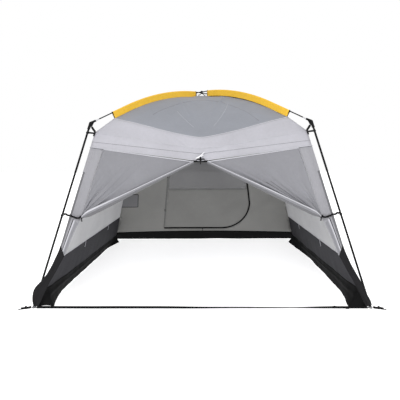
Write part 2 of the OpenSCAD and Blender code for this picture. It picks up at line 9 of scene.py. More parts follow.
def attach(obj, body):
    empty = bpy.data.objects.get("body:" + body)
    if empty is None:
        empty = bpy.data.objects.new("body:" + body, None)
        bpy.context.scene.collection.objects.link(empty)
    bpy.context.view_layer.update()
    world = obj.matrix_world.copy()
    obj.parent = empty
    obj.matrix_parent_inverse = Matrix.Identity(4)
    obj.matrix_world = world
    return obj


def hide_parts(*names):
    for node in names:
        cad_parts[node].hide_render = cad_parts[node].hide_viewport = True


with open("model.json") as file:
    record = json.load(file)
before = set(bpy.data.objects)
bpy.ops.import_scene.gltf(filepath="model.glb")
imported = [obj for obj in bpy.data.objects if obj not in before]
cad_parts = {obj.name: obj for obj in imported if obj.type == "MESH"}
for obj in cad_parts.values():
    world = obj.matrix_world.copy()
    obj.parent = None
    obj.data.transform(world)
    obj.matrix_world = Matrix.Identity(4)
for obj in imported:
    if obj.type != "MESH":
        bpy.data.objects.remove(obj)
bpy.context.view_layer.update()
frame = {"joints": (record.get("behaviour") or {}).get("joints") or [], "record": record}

# ---------------------------------------------------------------- driving sizes, in metres
record = frame["record"]
mount = {m["name"]: Vector(m["pos_m"]) for m in record["mounts"]}
joint = {j["name"]: j for j in frame["joints"]}
leg_way = Vector(joint["leg_br_out_of_elbow"]["axis"])

FOOT = mount["foot_br"].x
LEAN = -leg_way.x / leg_way.z
TILT = math.atan(LEAN)
WALL_B = FOOT - 0.055
EAVE_H = 1.695
EAVE_R = (FOOT - LEAN * EAVE_H) * math.sqrt(2)
POLE_SLOPE = math.radians(25.2)
PEAK_A = 2.141
PEAK_B = 2.153
POLE_R = 0.0055
SLEEVE_DROP = 0.066
SLEEVE_START_R = 0.102
SLEEVE_END_R = 1.270
SEAM_X = 0.885
SEAM_SAG = 0.205
SEAM_BULGE = 0.145
SEAM_ROUND = 0.10
EAVE_CORNER_H = 1.605
HEADER_MID_H = 1.318
HEADER_END_H = 1.460
BAND_TOP_H = 0.392
BAND_LOW_H = 0.070
BACK_BAND_H = 0.150
TIE_H = 0.785
TIE_CLIP_H, TIE_EDGE_H = 0.828, 0.812
TIE_END_X, TIE_END_H = 1.146, 0.784
CORNER_CLIP_H, CORNER_HOOK_H = 1.602, 1.659
GROUND_STRAP_END_X = 1.494
CLOTH_THICK = 0.0012
SILL_H = 0.850
DOOR_LOW_H, DOOR_TOP_H = 0.204, 1.285
DOOR_LEFT_X, DOOR_RIGHT_X = -0.647, 0.730
DOOR_LEFT_LEAN, DOOR_RIGHT_LEAN = 0.118, 0.12
DOOR_CORNER_R, DOOR_TOP_R = 0.430, 0.140
CORNERS = {"fl": (-1, -1), "fr": (1, -1), "br": (1, 1), "bl": (-1, 1)}
FRONT, RIGHT, BACK, LEFT = range(4)
SIDE_NAMES = ("front", "right", "back", "left")


def corner_x(z):
    """Half width of the walls at a height."""
    return WALL_B - LEAN * z


def bend_r(top):
    """Radius of a roof pole's bend."""
    return (EAVE_R * math.tan(POLE_SLOPE) - (top - EAVE_H)) / (1 / math.cos(POLE_SLOPE) - 1)


def pole_z(top, r):
    """Height of a roof pole's centre at a distance from the peak."""
    b = bend_r(top)
    if r < b * math.sin(POLE_SLOPE):
        return top - b + math.sqrt(b * b - r * r)
    return EAVE_H + (EAVE_R - r) * math.tan(POLE_SLOPE)


def header_z(x):
    """Height of the brow's lower edge."""
    return HEADER_MID_H + (HEADER_END_H - HEADER_MID_H) * abs(x) / corner_x(HEADER_END_H)


def turned(side, p):
    """A point of the front side, turned round to another side."""
    x, y, z = p
    for _ in range(side):
        x, y = -y, x
    return Vector((x, y, z))


def uneven(x, y, z):
    """Smooth noise between about -1 and 1."""
    return noise.noise(Vector((x, y, z)))


def bump(x, centre, width):
    return math.exp(-((x - centre) / width) ** 2)


def above(z):
    return Vector((0, 0, z))


def smooth(t):
    t = min(1.0, max(0.0, t))
    return t * t * (3 - 2 * t)


def mix(a, b, t):
    return a + (b - a) * t


def rough(p, size, octaves=3):
    """Smooth noise from about -1 to 1, with features of a size."""
    total, share = 0.0, 1.0
    q = Vector(p) / size
    for _ in range(octaves):
        total += noise.noise(q) * share
        q = q * 2.1 + Vector((3.1, 1.7, 5.3))
        share *= 0.5
    return total


# ---------------------------------------------------------------- camera, light and floor
CAMERA_AT = Vector((0.0701, -4.9608, 1.3629))
CAMERA_PITCH, CAMERA_YAW, CAMERA_ROLL = math.radians(-6.31), math.radians(-1.1625), math.radians(-0.419)
CAMERA_LENS = 35.41


def make_camera():
    data = bpy.data.cameras.new("camera")
    data.lens = CAMERA_LENS
    data.sensor_width = 36
    data.clip_end = 200
    cam = bpy.data.objects.new("camera", data)
    bpy.context.scene.collection.objects.link(cam)
    forward = Vector((math.sin(CAMERA_YAW) * math.cos(CAMERA_PITCH),
                      math.cos(CAMERA_YAW) * math.cos(CAMERA_PITCH), math.sin(CAMERA_PITCH)))
    right = Vector((math.cos(CAMERA_YAW), -math.sin(CAMERA_YAW), 0))
    up = right.cross(forward)
    c, s = math.cos(CAMERA_ROLL), math.sin(CAMERA_ROLL)
    right, up = right * c + up * s, up * c - right * s
    turn = Matrix((right, up, -forward)).transposed().to_4x4()
    cam.matrix_world = Matrix.Translation(CAMERA_AT) @ turn
    bpy.context.scene.camera = cam


def area_light(name, at, aim, size, power):
    data = bpy.data.lights.new(name, "AREA")
    data.shape = "DISK"
    data.size = size
    data.energy = power
    o = bpy.data.objects.new(name, data)
    o.location = at
    o.rotation_mode = "QUATERNION"
    o.rotation_quaternion = (Vector(aim) - Vector(at)).to_track_quat("-Z", "Y")
    bpy.context.scene.collection.objects.link(o)


def make_light():
    world = bpy.data.worlds.new("studio")
    world.use_nodes = True
    background = world.node_tree.nodes["Background"]
    background.inputs["Color"].default_value = (1.0, 1.0, 1.0, 1)
    background.inputs["Strength"].default_value = 1.0
    bpy.context.scene.world = world
    area_light("key", (-3.5, -7.5, 6.5), (0, -0.3, 1.0), 5.0, 260)
    area_light("fill", (5.5, -6.0, 3.5), (0, 0, 0.8), 5.0, 90)
    scene = bpy.context.scene
    scene.view_settings.view_transform = "Standard"
    scene.view_settings.look = "None"


def make_floor():
    bpy.ops.mesh.primitive_plane_add(size=60, location=(0, 0, -0.0015))
    floor = bpy.context.object
    floor.name = "floor"
    m = bpy.data.materials.new("floor")
    m.use_nodes = True
    shader = m.node_tree.nodes["Principled BSDF"]
    shader.inputs["Base Color"].default_value = (0.80, 0.80, 0.80, 1)
    shader.inputs["Roughness"].default_value = 0.9
    shader.inputs["Emission Color"].default_value = (1, 1, 1, 1)
    shader.inputs["Emission Strength"].default_value = 0.74
    floor.data.materials.append(m)


make_camera()
make_light()
make_floor()


# ---------------------------------------------------------------- materials
class Nodes:
    """A short way to write a material's nodes."""

    def __init__(self, name):
        self.material = bpy.data.materials.new(name)
        self.material.use_nodes = True
        self.tree = self.material.node_tree
        self.shader = self.tree.nodes["Principled BSDF"]

    def add(self, kind, _inputs=None, **settings):
        node = self.tree.nodes.new("ShaderNode" + kind)
        for key, value in settings.items():
            setattr(node, key, value)
        for key, value in (_inputs or {}).items():
            self.put(node.inputs[key], value)
        return node

    def put(self, socket, value):
        if isinstance(value, bpy.types.NodeSocket):
            self.tree.links.new(value, socket)
        else:
            socket.default_value = value

    def set(self, **values):
        for key, value in values.items():
            self.put(self.shader.inputs[key.replace("_", " ")], value)

    def math(self, operation, a, b=0.0):
        node = self.add("Math", operation=operation)
        self.put(node.inputs[0], a)
        self.put(node.inputs[1], b)
        return node.outputs[0]

    def scaled(self, value, factor, added):
        return self.math("ADD", self.math("MULTIPLY", value, factor), added)

    def mixed(self, share, first, second):
        node = self.add("MixShader", {"Fac": share})
        self.put(node.inputs[1], first)
        self.put(node.inputs[2], second)
        return node.outputs[0]

    def ramp(self, value, stops):
        node = self.add("ValToRGB", {"Fac": value})
        elements = node.color_ramp.elements
        while len(elements) < len(stops):
            elements.new(0.5)
        for element, (place, color) in zip(elements, stops):
            element.position = place
            element.color = (*color, 1) if len(color) == 3 else color
        return node.outputs["Color"]

    def noise(self, vector, scale, detail=3.0, roughness=0.5):
        node = self.add("TexNoise", {"Vector": vector, "Scale": scale, "Detail": detail,
                                     "Roughness": roughness})
        return node.outputs["Fac"]

    def bump(self, height, strength, distance, below=None):
        node = self.add("Bump", {"Height": height, "Strength": strength, "Distance": distance})
        if below is not None:
            self.put(node.inputs["Normal"], below)
        return node.outputs["Normal"]


def tint(color, k):
    return tuple(min(1.0, c * k) for c in color)


def cloth_material(name, color, through=0.25, roughness=0.75, sheen=0.25, thread=0.0012, coat=0.0,
                   vary=0.08, holes=0.0):
    """Woven cloth: threads and a crease pattern from the cut's own UVs, and light that comes through."""
    n = Nodes(name)
    uv = n.add("UVMap", uv_map="cut").outputs["UV"]
    place = n.add("TexCoord").outputs["Object"]
    split = n.add("SeparateXYZ", {"Vector": uv})
    threads = []
    for axis in "XY":
        turns = n.math("MULTIPLY", split.outputs[axis], 2 * math.pi / thread)
        threads.append(n.math("SINE", turns))
    weave = n.math("MULTIPLY", threads[0], threads[1])
    broad = n.noise(place, 2.3, 4.0, 0.6)
    fine = n.noise(place, 38.0, 3.0, 0.6)
    shade = n.math("ADD", n.math("MULTIPLY", broad, 0.7), n.math("MULTIPLY", fine, 0.3))
    base = n.ramp(shade, [(0.3, tint(color, 1 - vary)), (0.7, tint(color, 1 + vary))])
    crease = n.bump(n.noise(place, 9.0, 5.0, 0.55), 0.25, 0.006)
    normal = n.bump(weave, 0.18, 0.0002, crease)
    n.set(Base_Color=base, Normal=normal)
    n.set(Roughness=n.scaled(fine, 0.16, roughness - 0.08))
    n.set(Sheen_Weight=sheen, Sheen_Roughness=0.45, Specular_IOR_Level=0.1 + sheen)
    if coat:
        n.set(Coat_Weight=coat, Coat_Roughness=0.35)
    out = n.tree.nodes["Material Output"]
    surface = n.shader.outputs["BSDF"]
    if through:
        glow = n.add("BsdfTranslucent", {"Color": base, "Normal": normal})
        surface = n.mixed(through, surface, glow.outputs[0])
    if holes:
        clear = n.add("BsdfTransparent")
        net = n.math("MULTIPLY", n.scaled(broad, 0.25, 0.875), holes)
        surface = n.mixed(net, surface, clear.outputs[0])
    n.tree.links.new(surface, out.inputs["Surface"])
    return n.material


def webbing_material(name, color):
    """Flat woven strap: a herringbone of raised threads along its length."""
    n = Nodes(name)
    uv = n.add("UVMap", uv_map="cut").outputs["UV"]
    place = n.add("TexCoord").outputs["Object"]
    split = n.add("SeparateXYZ", {"Vector": uv})
    slant = n.math("ADD", n.math("MULTIPLY", split.outputs["X"], 1800.0),
                   n.math("MULTIPLY", n.math("PINGPONG", split.outputs["Y"], 0.006), 2600.0))
    ribs = n.math("SINE", slant)
    wear = n.noise(place, 60.0, 4.0, 0.65)
    base = n.ramp(wear, [(0.35, tint(color, 0.75)), (0.75, tint(color, 1.6))])
    n.set(Base_Color=base, Normal=n.bump(ribs, 0.5, 0.0004), Sheen_Weight=0.03, Specular_IOR_Level=0.08)
    n.set(Roughness=n.scaled(wear, 0.2, 0.6))
    return n.material


def plastic_material(name, color, roughness=0.42):
    """Moulded plastic with a fine spark-eroded grain and scuffed high spots."""
    n = Nodes(name)
    place = n.add("TexCoord").outputs["Object"]
    grain = n.noise(place, 900.0, 2.0, 0.5)
    scuff = n.noise(place, 45.0, 5.0, 0.7)
    base = n.ramp(scuff, [(0.45, color), (0.8, tint(color, 2.2))])
    n.set(Base_Color=base, Normal=n.bump(grain, 0.25, 0.0002), Specular_IOR_Level=0.14)
    n.set(Roughness=n.scaled(scuff, 0.3, roughness - 0.12))
    return n.material


def tube_material(name, color, roughness, metallic=0.0):
    """Drawn tube or rod: faint lines along it, with worn and dusty patches."""
    n = Nodes(name)
    place = n.add("TexCoord").outputs["Object"]
    patches = n.noise(place, 14.0, 5.0, 0.65)
    lines = n.noise(n.add("Mapping", {"Vector": place, "Scale": (220.0, 220.0, 6.0)}).outputs[0], 1.0)
    base = n.ramp(patches, [(0.4, color), (0.85, tint(color, 1.9))])
    n.set(Base_Color=base, Metallic=metallic, Normal=n.bump(lines, 0.15, 0.0002))
    n.set(Specular_IOR_Level=0.5 if metallic else 0.1)
    n.set(Roughness=n.scaled(patches, 0.25, roughness - 0.1))
    return n.material


def zip_material(name, color):
    """A zip's coil: teeth across its length."""
    n = Nodes(name)
    uv = n.add("UVMap", uv_map="cut").outputs["UV"]
    run = n.add("SeparateXYZ", {"Vector": uv}).outputs["X"]
    teeth = n.math("SINE", n.math("MULTIPLY", run, 2 * math.pi / 0.0022))
    height = n.scaled(teeth, 0.5, 0.5)
    # Painted shade between the teeth and painted highlight on their crests: darker where the coil is low,
    # lighter where it is high.
    base = n.ramp(height, [(0.2, tint(color, 0.5)), (0.9, tint(color, 1.6))])
    n.set(Base_Color=base, Normal=n.bump(teeth, 0.8, 0.0008), Roughness=0.45)
    return n.material


ZIP_TEETH = zip_material("zip_teeth", (0.016, 0.016, 0.018))
YELLOW = cloth_material("sleeve_cloth", (0.80, 0.49, 0.040), through=0.12, sheen=0.2)
ROOF_CLOTH = cloth_material("roof_cloth", (0.37, 0.384, 0.425), through=0.42, coat=0.06)
PALE_CLOTH = cloth_material("pale_cloth", (0.58, 0.575, 0.615), through=0.42)
JAMB_CLOTH = cloth_material("jamb_cloth", (0.395, 0.393, 0.42), through=0.35)
EDGE_CLOTH = cloth_material("edge_cloth", (0.15, 0.15, 0.16), through=0.15)
WALL_CLOTH = cloth_material("wall_cloth", (0.60, 0.60, 0.61), through=0.45)
# The back wall and door: their light grey cloth darkened to a mid grey, painted shade for the inside of the
# shelter.
BACK_SHADED_CLOTH = cloth_material("back_cloth", (0.375, 0.373, 0.362), through=0.4)
DOOR_SHADED_CLOTH = cloth_material("door_cloth", (0.35, 0.348, 0.338), through=0.4)
MESH_CLOTH = cloth_material("mesh_cloth", (0.325, 0.325, 0.35), through=0.35, thread=0.002, holes=0.12)
# Painted highlight: a pale cloth for the lit crown of the curtains' rolled edge.
ROLL_HIGHLIGHT_CLOTH = cloth_material("roll_highlight_cloth", (0.62, 0.62, 0.66), through=0.2, thread=0.002)
# Painted shade: a dark cloth for the roll's underside and the curtains' shaded folds.
FOLD_SHADE_CLOTH = cloth_material("fold_shade_cloth", (0.15, 0.15, 0.16), through=0.15, thread=0.002)
DOOR_SEAM = cloth_material("door_seam_cloth", (0.20, 0.20, 0.195), through=0.1)
# Near-white cloth for the folded tips at the doorway's top, its brightness partly painted highlight.
APEX_HIGHLIGHT_CLOTH = cloth_material("apex_highlight_cloth", (0.88, 0.88, 0.90), through=0.2)
# Painted highlight: a lighter cloth laid as thin tapes along the roof's creases.
RIDGE_HIGHLIGHT_CLOTH = cloth_material("ridge_highlight_cloth", (0.50, 0.51, 0.55), through=0.3)
SEAM_AND_ARC_CLOTH = cloth_material("seam_cloth", (0.27, 0.27, 0.30), through=0.2)
FLAP_CLOTH = cloth_material("flap_cloth", (0.0135, 0.0132, 0.0145), through=0.03, sheen=0.02)
WINDOW_CLOTH = cloth_material("window_cloth", (0.185, 0.185, 0.19), through=0.3, thread=0.002, holes=0.2)
SIDE_MESH = cloth_material("side_mesh_cloth", (0.50, 0.50, 0.52), through=0.45, thread=0.002, holes=0.2)
HEM_CLOTH = cloth_material("hem_cloth", (0.60, 0.60, 0.64), through=0.25)
DARK_CLOTH = cloth_material("band_cloth", (0.025, 0.0245, 0.030), through=0.05, sheen=0.04)
SKIRT_CLOTH = cloth_material("skirt_cloth", (0.0045, 0.0045, 0.0048), through=0.02, sheen=0.02)
POCKET_CLOTH = cloth_material("pocket_cloth", (0.28, 0.28, 0.29), through=0.3, thread=0.002)
WEBBING = webbing_material("webbing", (0.004, 0.004, 0.0045))
PLASTIC = plastic_material("moulded_plastic", (0.004, 0.004, 0.0045), 0.55)
POLE_FINISH = tube_material("fibreglass", (0.003, 0.003, 0.0035), 0.5)
LEG_FINISH = tube_material("powder_coat", (0.003, 0.003, 0.0035), 0.55)
STEEL = tube_material("bright_steel", (0.62, 0.62, 0.64), 0.25, metallic=1.0)
THREAD_DARK = cloth_material("binding_cloth", (0.018, 0.018, 0.020), through=0.0, sheen=0.05)


# ---------------------------------------------------------------- mesh helpers
# A shape is (points, faces, cut): cut gives each point's place on the flat cloth, in metres.
def make_piece(name, shapes, material, body="frame", thick=0.0, stands_for=()):
    """A mesh object made of shapes, which rides on a body."""
    shapes = shapes if isinstance(shapes, list) else [shapes]
    verts, faces, cut = [], [], []
    for points, polys, flat in shapes:
        start = len(verts)
        verts += [tuple(p) for p in points]
        faces += [tuple(i + start for i in f) for f in polys]
        cut += flat
    mesh = bpy.data.meshes.new(name)
    mesh.from_pydata(verts, [], faces)
    layer = mesh.uv_layers.new(name="cut")
    loops = np.zeros(len(mesh.loops), np.int32)
    mesh.loops.foreach_get("vertex_index", loops)
    layer.data.foreach_set("uv", np.array(cut, np.float32)[loops].ravel())
    mesh.materials.append(material)
    mesh.polygons.foreach_set("use_smooth", [True] * len(mesh.polygons))
    mesh.update()
    o = bpy.data.objects.new(name, mesh)
    bpy.context.scene.collection.objects.link(o)
    if thick:
        solid = o.modifiers.new("thickness", "SOLIDIFY")
        solid.thickness = thick
        solid.offset = 0
    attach(o, body)
    if stands_for:
        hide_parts(*stands_for)
    return o


def more_materials(o, materials, chosen):
    """Adds materials to a piece; chosen(face) gives the place of the one that a face takes."""
    for material in materials:
        o.data.materials.append(material)
    for k, face in enumerate(o.data.polygons):
        face.material_index = chosen(k)


def grid_faces(rows, cols, closed=False):
    """Quads of a grid of rows by cols points; closed joins the last column to the first."""
    faces = []
    for i in range(rows - 1):
        for j in range(cols if closed else cols - 1):
            k = (j + 1) % cols
            faces.append((i * cols + j, i * cols + k, (i + 1) * cols + k, (i + 1) * cols + j))
    return faces


def grid(rows, cols, place):
    """A sheet over a grid: place(v, u) gives the point, with v down the rows and u across."""
    points = [place(i / (rows - 1), j / (cols - 1)) for i in range(rows) for j in range(cols)]
    across, down = [0.0], [0.0]
    for j in range(1, cols):
        i = rows // 2
        across.append(across[-1] + (points[i * cols + j] - points[i * cols + j - 1]).length)
    for i in range(1, rows):
        j = cols // 2
        down.append(down[-1] + (points[i * cols + j] - points[(i - 1) * cols + j]).length)
    return points, grid_faces(rows, cols), [(a, d) for d in down for a in across]


def swept(path, section, up=above(1)):
    """A closed bar along a path. section(t) gives the outline as (side, up, place across) at a share t."""
    verts, cut, run = [], [], 0.0
    count = len(section(0.0))
    for i, p in enumerate(path):
        if i:
            run += (path[i] - path[i - 1]).length
        ahead = (path[min(i + 1, len(path) - 1)] - path[max(i - 1, 0)]).normalized()
        top = up(i / (len(path) - 1)) if callable(up) else up
        side = ahead.cross(top)
        if side.length < 1e-4:
            side = Vector((1, 0, 0))
        side.normalize()
        top = side.cross(ahead)
        for a, b, place in section(i / (len(path) - 1)):
            verts.append(p + side * a + top * b)
            cut.append((run, place))
    faces = grid_faces(len(path), count, closed=True)
    last = (len(path) - 1) * count
    faces += [tuple(range(count - 1, -1, -1)), tuple(range(last, last + count))]
    return verts, faces, cut


def round_section(radius, count=12):
    """A round outline; radius may be a function of the share along the path."""
    def section(t):
        r = radius(t) if callable(radius) else radius
        return [(r * math.cos(2 * math.pi * k / count), r * math.sin(2 * math.pi * k / count),
                 2 * math.pi * r * k / count) for k in range(count)]
    return section


def flat_section(width, thick):
    """A strap's outline, with rounded edges."""
    w, h = width / 2, thick / 2
    ring = [(-w, -h * 0.4), (-w * 0.93, -h), (0, -h), (w * 0.93, -h), (w, -h * 0.4),
            (w, h * 0.4), (w * 0.93, h), (0, h), (-w * 0.93, h), (-w, h * 0.4)]
    return lambda t: [(a, b, a) for a, b in ring]


def cord(points, radius, steps=10, count=10):
    """A round cord through points."""
    return swept(curve_through([Vector(p) for p in points], steps), round_section(radius, count))


def strap(points, width, thick, up=above(1), steps=10):
    """A flat strap through points, with up the direction that its face looks in."""
    return swept(curve_through([Vector(p) for p in points], steps), flat_section(width, thick), up)


def tape(path, out_way, width, thick=0.0008):
    """A thin tape that lies on cloth along a path; out_way(i) is the cloth's outward direction."""
    verts, cut, run = [], [], 0.0
    for i, p in enumerate(path):
        if i:
            run += (path[i] - path[i - 1]).length
        ahead = (path[min(i + 1, len(path) - 1)] - path[max(i - 1, 0)]).normalized()
        out = out_way(i) if callable(out_way) else out_way
        side = ahead.cross(out).normalized()
        for a, b in [(-0.5, 0), (-0.44, 1), (0.44, 1), (0.5, 0), (0.44, -1), (-0.44, -1)]:
            verts.append(p + side * width * a + out * thick * b)
            cut.append((run, width * a))
    faces = grid_faces(len(path), 6, closed=True)
    last = (len(path) - 1) * 6
    faces += [(5, 4, 3, 2, 1, 0), tuple(range(last, last + 6))]
    return verts, faces, cut


def ball(centre, radius, squeeze=(1, 1, 1), rows=8, cols=14):
    """A small round knob."""
    points, cut = [], []
    for i in range(rows + 1):
        a = math.pi * i / rows
        for j in range(cols):
            b = 2 * math.pi * j / cols
            p = Vector((math.sin(a) * math.cos(b), math.sin(a) * math.sin(b), math.cos(a)))
            points.append(Vector(centre) + Vector([p[k] * radius * squeeze[k] for k in range(3)]))
            cut.append((radius * b, radius * a))
    return points, grid_faces(rows + 1, cols, closed=True), cut


def ring(centre, axis, radius, wire, count=32, sides=10):
    """A round ring about an axis."""
    axis = Vector(axis).normalized()
    a = axis.orthogonal().normalized()
    b = axis.cross(a)
    points, cut = [], []
    for i in range(count):
        t = 2 * math.pi * i / count
        way = a * math.cos(t) + b * math.sin(t)
        for j in range(sides):
            s = 2 * math.pi * j / sides
            points.append(Vector(centre) + way * (radius + wire * math.cos(s)) + axis * wire * math.sin(s))
            cut.append((radius * t, wire * s))
    faces = []
    for i in range(count):
        k = (i + 1) % count
        for j in range(sides):
            m = (j + 1) % sides
            faces.append((i * sides + j, i * sides + m, k * sides + m, k * sides + j))
    return points, faces, cut


def curve_through(points, steps=10):
    """A smooth path through points, as a Catmull-Rom curve."""
    path = []
    for i in range(len(points) - 1):
        p0 = points[max(i - 1, 0)]
        p1, p2 = points[i], points[i + 1]
        p3 = points[min(i + 2, len(points) - 1)]
        for k in range(steps):
            t = k / steps
            path.append(0.5 * ((2 * p1) + (p2 - p0) * t + (2 * p0 - 5 * p1 + 4 * p2 - p3) * t * t
                               + (3 * p1 - p0 - 3 * p2 + p3) * t ** 3))
    path.append(points[-1].copy())
    return path


def inside(p, outline):
    """True if a flat point is inside an outline."""
    hit = False
    for a, b in zip(outline, outline[1:] + outline[:1]):
        if (a[1] > p[1]) != (b[1] > p[1]) and p[0] < (b[0] - a[0]) * (p[1] - a[1]) / (b[1] - a[1]) + a[0]:
            hit = not hit
    return hit


def sampled(outline, step, closed=True):
    """An outline with points no further apart than step."""
    points = []
    ends = outline[1:] + outline[:1] if closed else outline[1:]
    for a, b in zip(outline, ends):
        count = max(1, math.ceil(math.dist(a, b) / step))
        points += [(mix(a[0], b[0], k / count), mix(a[1], b[1], k / count)) for k in range(count)]
    return points if closed else points + [outline[-1]]


def area_of(outline):
    """The area of a flat outline."""
    return abs(sum(a[0] * b[1] - b[0] * a[1] for a, b in zip(outline, outline[1:] + outline[:1]))) / 2


def panel(outline, holes, place, step=0.03):
    """A sheet cut to a flat outline with holes, laid out by place(x, h)."""
    points, lines, border = [], [], {}
    for edge in [outline, *holes]:
        around = sampled(edge, step)
        start = len(points)
        points += around
        lines += [(start + k, start + (k + 1) % len(around)) for k in range(len(around))]
        for q in around:
            border.setdefault((int(q[0] // step), int(q[1] // step)), []).append(q)
    xs, hs = [p[0] for p in outline], [p[1] for p in outline]
    row_step = step * 0.866
    row, h = 0, min(hs) + row_step / 2
    while h < max(hs):
        x = min(xs) + (step / 2 if row % 2 else 0)
        while x < max(xs):
            cell = (int(x // step), int(h // step))
            close = any(math.dist((x, h), q) < step * 0.55 for dx in (-1, 0, 1) for dh in (-1, 0, 1)
                        for q in border.get((cell[0] + dx, cell[1] + dh), ()))
            if not close and inside((x, h), outline) and not any(inside((x, h), e) for e in holes):
                points.append((x, h))
            x += step
        h += row_step
        row += 1
    flat, _, faces, _, _, _ = geometry.delaunay_2d_cdt([Vector(p) for p in points], lines, [], 0, 1e-6)
    kept = []
    for f in faces:
        c = (sum(flat[i].x for i in f) / 3, sum(flat[i].y for i in f) / 3)
        if inside(c, outline) and not any(inside(c, e) for e in holes):
            kept.append(tuple(f))
    return [place(p.x, p.y) for p in flat], kept, [(p.x, p.y) for p in flat]


def extent(outline):
    """Width and length of the smallest rectangle round a flat outline."""
    best = None
    for degrees in range(0, 90, 3):
        c, s = math.cos(math.radians(degrees)), math.sin(math.radians(degrees))
        xs, hs = [c * p[0] + s * p[1] for p in outline], [c * p[1] - s * p[0] for p in outline]
        size = max(xs) - min(xs), max(hs) - min(hs)
        if best is None or size[0] * size[1] < best[0] * best[1]:
            best = size
    return best


def declare(outline, holes=()):
    """Works out a panel's flat size and area, which are then not used."""
    w, h = extent(outline)
    area = area_of(outline) - sum(area_of(e) for e in holes)


# ---------------------------------------------------------------- the canopy's surfaces
COS_T, SIN_T = math.cos(TILT), math.sin(TILT)
WALL_OUT = [turned(side, (0, -COS_T, SIN_T)) for side in range(4)]


def lay(side, x, h, out=0.0):
    """A point of a leaning wall: x along it, h up its slope, out the distance outside it."""
    return turned(side, (x, -(WALL_B - h * SIN_T) - out * COS_T, h * COS_T + out * SIN_T))


def up(z):
    return z / COS_T


def half(h):
    """Half width of a wall at a distance up its slope."""
    return corner_x(h * COS_T)


def sleeve_z(x):
    return pole_z((PEAK_A + PEAK_B) / 2, x * math.sqrt(2)) - SLEEVE_DROP


def sag_share(s):
    c = SEAM_ROUND
    return 1 - (math.sqrt(s * s + c * c) - c) / (math.sqrt(1 + c * c) - c)


def roof_plain(s, t):
    start = SLEEVE_START_R / math.sqrt(2)
    x = start + (SEAM_X - start) * t
    q = sag_share(s)
    return Vector((s * x, -x - SEAM_BULGE * t * t * q, sleeve_z(x) - SEAM_SAG * t ** 1.2 * q))


def brow_edge(t):
    corner = Vector((corner_x(EAVE_CORNER_H), -corner_x(EAVE_CORNER_H), EAVE_CORNER_H))
    if t < 0.5:
        return roof_plain(1, 1).lerp(corner, 2 * t)
    z = mix(EAVE_CORNER_H, HEADER_END_H, 2 * t - 1)
    return Vector((corner_x(z), -corner_x(z), z))


def brow_plain(s, t):
    edge = brow_edge(t)
    mid = roof_plain(0, 1).lerp(Vector((0, -corner_x(HEADER_MID_H), HEADER_MID_H)), t)
    p = mid.lerp(edge, (1 - sag_share(s)) * (1 - t) + abs(s) * t)
    return Vector((s * edge.x, p.y, p.z))


def to_line(p, a, b):
    """Distance of a flat point from a line segment, and the share along it."""
    ax, ay, bx, by = *a, *b
    k = ((p[0] - ax) * (bx - ax) + (p[1] - ay) * (by - ay)) / ((bx - ax) ** 2 + (by - ay) ** 2)
    k = min(1.0, max(0.0, k))
    return math.hypot(p[0] - mix(ax, bx, k), p[1] - mix(ay, by, k)), k


def crease(p, a, b, width, depth):
    """A sharp fold along a line that dies out at both ends."""
    d, k = to_line(p, a, b)
    return depth * math.exp(-d / width) * math.sin(math.pi * min(0.98, max(0.02, k))) ** 0.6


LIFT = [turned(side, (0, -0.5, 0.866)) for side in range(4)]


def billow(side, p, s, depth=0.006):
    """Soft unevenness of tensioned cloth, none along the sleeves."""
    edge = min(1.0, (1 - abs(s)) * 5)
    q = p + Vector((side * 3.7, 0, side * 1.3))
    return LIFT[side] * (depth * edge * rough(q, 0.42, 3))


def roof_place(side):
    def place(v, u):
        s, t = 2 * u - 1, v
        p = roof_plain(s, t)
        x, y = p.x, t
        rise = crease((x, y), (-0.30, 0.26), (-0.08, 0.80), 0.026, 0.017)
        rise += crease((x, y), (0.30, 0.20), (0.12, 0.72), 0.024, 0.017)
        rise += crease((x, y), (-0.72, 0.95), (-0.45, 0.70), 0.030, 0.004)
        rise += crease((x, y), (0.70, 0.93), (0.42, 0.74), 0.030, 0.004)
        p.z += 0.017 * (1 - smooth(t / 0.10)) * (1 - abs(s) ** 8)
        pull = math.exp(-(1 - abs(s)) * 14) * 0.0035 * math.sin(t * 60 + 3 * rough((t * 9, s, side), 1.0, 2))
        rise = rise * min(1, (1 - abs(s)) * 6) + pull * (1 - abs(s)) * 8
        return turned(side, p) + billow(side, p, s) + LIFT[side] * rise
    return place


def brow_place(side):
    def place(v, u):
        s, t = 2 * u - 1, v
        p = brow_plain(s, t)
        fade = min(1.0, (1 - abs(s)) * 6) * min(1.0, (1 - t) * 6 + 0.05) * min(1.0, t * 8 + 0.3)
        x = p.x
        rise = crease((x, t), (-0.34, 0.05), (-0.03, 0.85), 0.016, 0.008)
        rise += crease((x, t), (0.42, 0.15), (0.05, 0.9), 0.020, 0.005)
        rise += crease((x, t), (-0.80, 0.60), (-0.30, 0.72), 0.022, 0.005)
        rise += crease((x, t), (0.85, 0.55), (0.28, 0.74), 0.022, 0.005)
        r = math.hypot(x, (1 - t) * 0.3)
        rise += 0.008 * math.exp(-r / 0.09) * math.cos(7 * math.atan2(x, (1 - t) * 0.3 + 0.01) + 0.6)
        wave = 0.004 * rough((p.x * 3.2, t * 1.4, side * 5.1), 0.5, 3)
        edge = min(1.0, (1 - abs(s)) * 6) * min(1.0, t * 8)
        rise = rise * fade + wave * edge * (1 - t)
        return turned(side, p) + billow(side, p, s) * (1 - smooth(t * 1.3)) + LIFT[side] * rise
    return place


# Two painted highlights along ridges of a roof panel, from (across, down) to (across, down), as shares of the
# panel
ROOF_RIDGES = (((-0.42, 0.66), (-0.09, 0.87)), ((0.59, 0.52), (0.17, 0.87)))
# A brow's tapes: share down the brow, width, and where each starts and ends across it
BROW_TAPES = ((0.0, 0.014, 0.0, 1.0), (0.50, 0.007, 0.0, 1.0),
              (0.985, 0.022, 0.0, 0.485), (0.985, 0.022, 0.515, 1.0))


